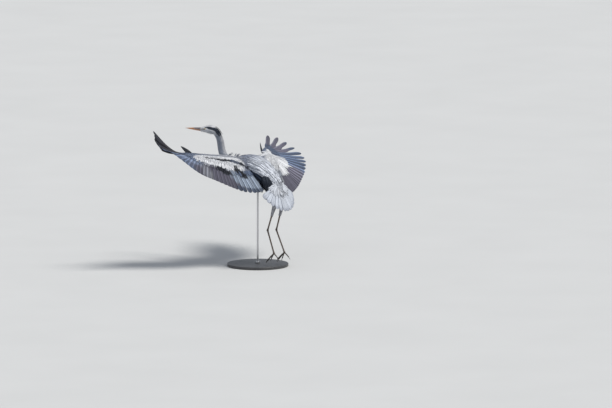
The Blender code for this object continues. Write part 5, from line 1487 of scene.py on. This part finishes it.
paint, tree, shader = finish_of("painted_wood", Coat_Weight=0.15, Coat_Roughness=0.3, Specular_IOR_Level=0.45)
year_rings, dust = noise(tree, 1.0, 5.0, (8.0, 130.0, 40.0)), noise(tree, 45.0, 6.0)
satin = ramp(tree, dust, (0.35, (0.040, 0.040, 0.043)), (0.75, (0.062, 0.061, 0.062)))
wire(tree, shader, satin, (dust, 0.36, 0.50), (year_rings, 0.10, 0.0005))
base = turned("base_disc", rounded(BASE_RADIUS, FELT, BASE_THICK, BASE_EDGE), 192)
base.data.set_sharp_from_angle(angle=SHARP)
base.data.materials.append(paint)
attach(base, "root")
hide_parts("stand_base")
felt_radius = BASE_RADIUS - FELT_INSET
felt = turned("base_felt", [(0.0, 0.0), (felt_radius, 0.0), (felt_radius, FELT), (0.0, FELT)], 128)
felt_look, tree, shader = finish_of("felt", Sheen_Weight=0.4)
fuzz = noise(tree, 900.0, 3.0)
green = ramp(tree, fuzz, (0.3, (0.020, 0.028, 0.022)), (0.7, (0.045, 0.060, 0.048)))
wire(tree, shader, green, (fuzz, 0.85, 1.0))
felt.data.set_sharp_from_angle(angle=SHARP)
felt.data.materials.append(felt_look)
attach(felt, "root")
steel, tree, shader = finish_of("brushed_steel", Metallic=1.0, Anisotropic=0.5)
lines = noise(tree, 1.0, 3.0, (900.0, 900.0, 12.0))
grey = ramp(tree, lines, (0.3, (0.50, 0.50, 0.51)), (0.7, (0.62, 0.62, 0.63)))
wire(tree, shader, grey, (lines, 0.26, 0.40), (lines, 0.05, 0.0001))
foot = BASE_THICK + FIT
rod = turned("rod_steel", rounded(ROD_RADIUS, foot, ROD_TOP, ROD_EDGE), 48)
collar = turned("collar_steel", rounded(COLLAR_RADIUS, foot, foot + COLLAR_HEIGHT, COLLAR_EDGE), 96)
screw_at, turns = foot + COLLAR_HEIGHT / 2, np.linspace(0, 2 * np.pi, 24, endpoint=False)
screw = ((0.00001, 0.0), (0.0020, 0.0), (0.0023, 0.0003), (0.0023, 0.0030), (0.00001, 0.0030))
grub = loft("grub_screw", np.array([[(COLLAR_RADIUS + SCREW_PROUD - depth, radius * math.cos(a),
                                      screw_at + radius * math.sin(a)) for a in turns]
                                    for radius, depth in screw]))
for piece, stands_for in ((rod, "stand_rod"), (collar, "stand_collar"), (grub, None)):
    piece.data.set_sharp_from_angle(angle=SHARP)
    piece.data.materials.append(steel)
    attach(piece, "root")
    if stands_for:
        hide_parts(stands_for)

# ---------------------------------------------------------------- studio
# A plain pale floor under the stand, two far, soft-edged lamps and a pale surround, and a long lens that
# looks from the bird's left rear, a little from above.
FLOOR_REACH = 90
floor_mesh = bpy.data.meshes.new("floor")
corners = [(x * FLOOR_REACH, y * FLOOR_REACH, 0) for x, y in ((-1, -1), (1, -1), (1, 1), (-1, 1))]
floor_mesh.from_pydata(corners, [], [(0, 1, 2, 3)])
floor = placed("floor", floor_mesh)
floor_look, tree, shader = finish_of("pale_floor", Roughness=0.9)
grain = noise(tree, 1.5, 4.0)
wire(tree, shader, ramp(tree, grain, (0.3, (0.55, 0.55, 0.545)), (0.7, (0.57, 0.57, 0.565))))
floor_mesh.materials.append(floor_look)

AZIMUTH, ELEVATION = math.radians(130), math.radians(8)
FAR, SENSOR = 40.0, 36.0  # metres, millimetres
FRAME_WIDTH = 3.978  # what the picture's width spans at the bird
ASIDE, BELOW = 0.0694, 0.0482  # where the camera aims, off the bird's middle, in frame widths
BIRD_MIDDLE = BIRD_AT + (0.0, 0.0, 0.585)
toward = np.array((math.sin(AZIMUTH) * math.cos(ELEVATION), -math.cos(AZIMUTH) * math.cos(ELEVATION),
                   math.sin(ELEVATION)))
right = unit(np.cross((0.0, 0.0, 1.0), toward))
up = np.cross(toward, right)
camera_data = bpy.data.cameras.new("camera")
camera_data.sensor_width = SENSOR
camera_data.lens = SENSOR * FAR / FRAME_WIDTH
camera_data.clip_start, camera_data.clip_end = 1.0, 400.0
camera = placed("camera", camera_data)
camera.location = BIRD_MIDDLE + right * ASIDE * FRAME_WIDTH - up * BELOW * FRAME_WIDTH + toward * FAR
camera.rotation_mode = "QUATERNION"
camera.rotation_quaternion = Vector(toward).to_track_quat("Z", "Y")
bpy.context.scene.camera = camera


def lamp(name, way, softness, strength, colour):
    """A far, soft-edged lamp that lights bird and floor evenly from way; softness in degrees across."""
    data = bpy.data.lights.new(name, "SUN")
    data.angle, data.energy, data.color = math.radians(softness), strength, colour
    made = placed(name, data)
    made.location = BIRD_MIDDLE + unit(way) * 5.0
    made.rotation_mode = "QUATERNION"
    made.rotation_quaternion = Vector(way).to_track_quat("Z", "Y")


lamp("key", right * 0.80 + toward * 0.45 + np.array((0.0, 0.0, 1.2)), 18.0, 3.2, (1.0, 0.98, 0.94))
lamp("fill", toward - right * 1.2 + np.array((0.0, 0.0, 0.6)), 60.0, 0.25, (0.90, 0.94, 1.0))
world = bpy.data.worlds.new("surround")
world.use_nodes = True
sky = world.node_tree.nodes["Background"]
sky.inputs["Color"].default_value = (0.82, 0.89, 1.0, 1.0)
sky.inputs["Strength"].default_value = 0.46
bpy.context.scene.world = world
bpy.context.scene.view_settings.view_transform = "Standard"
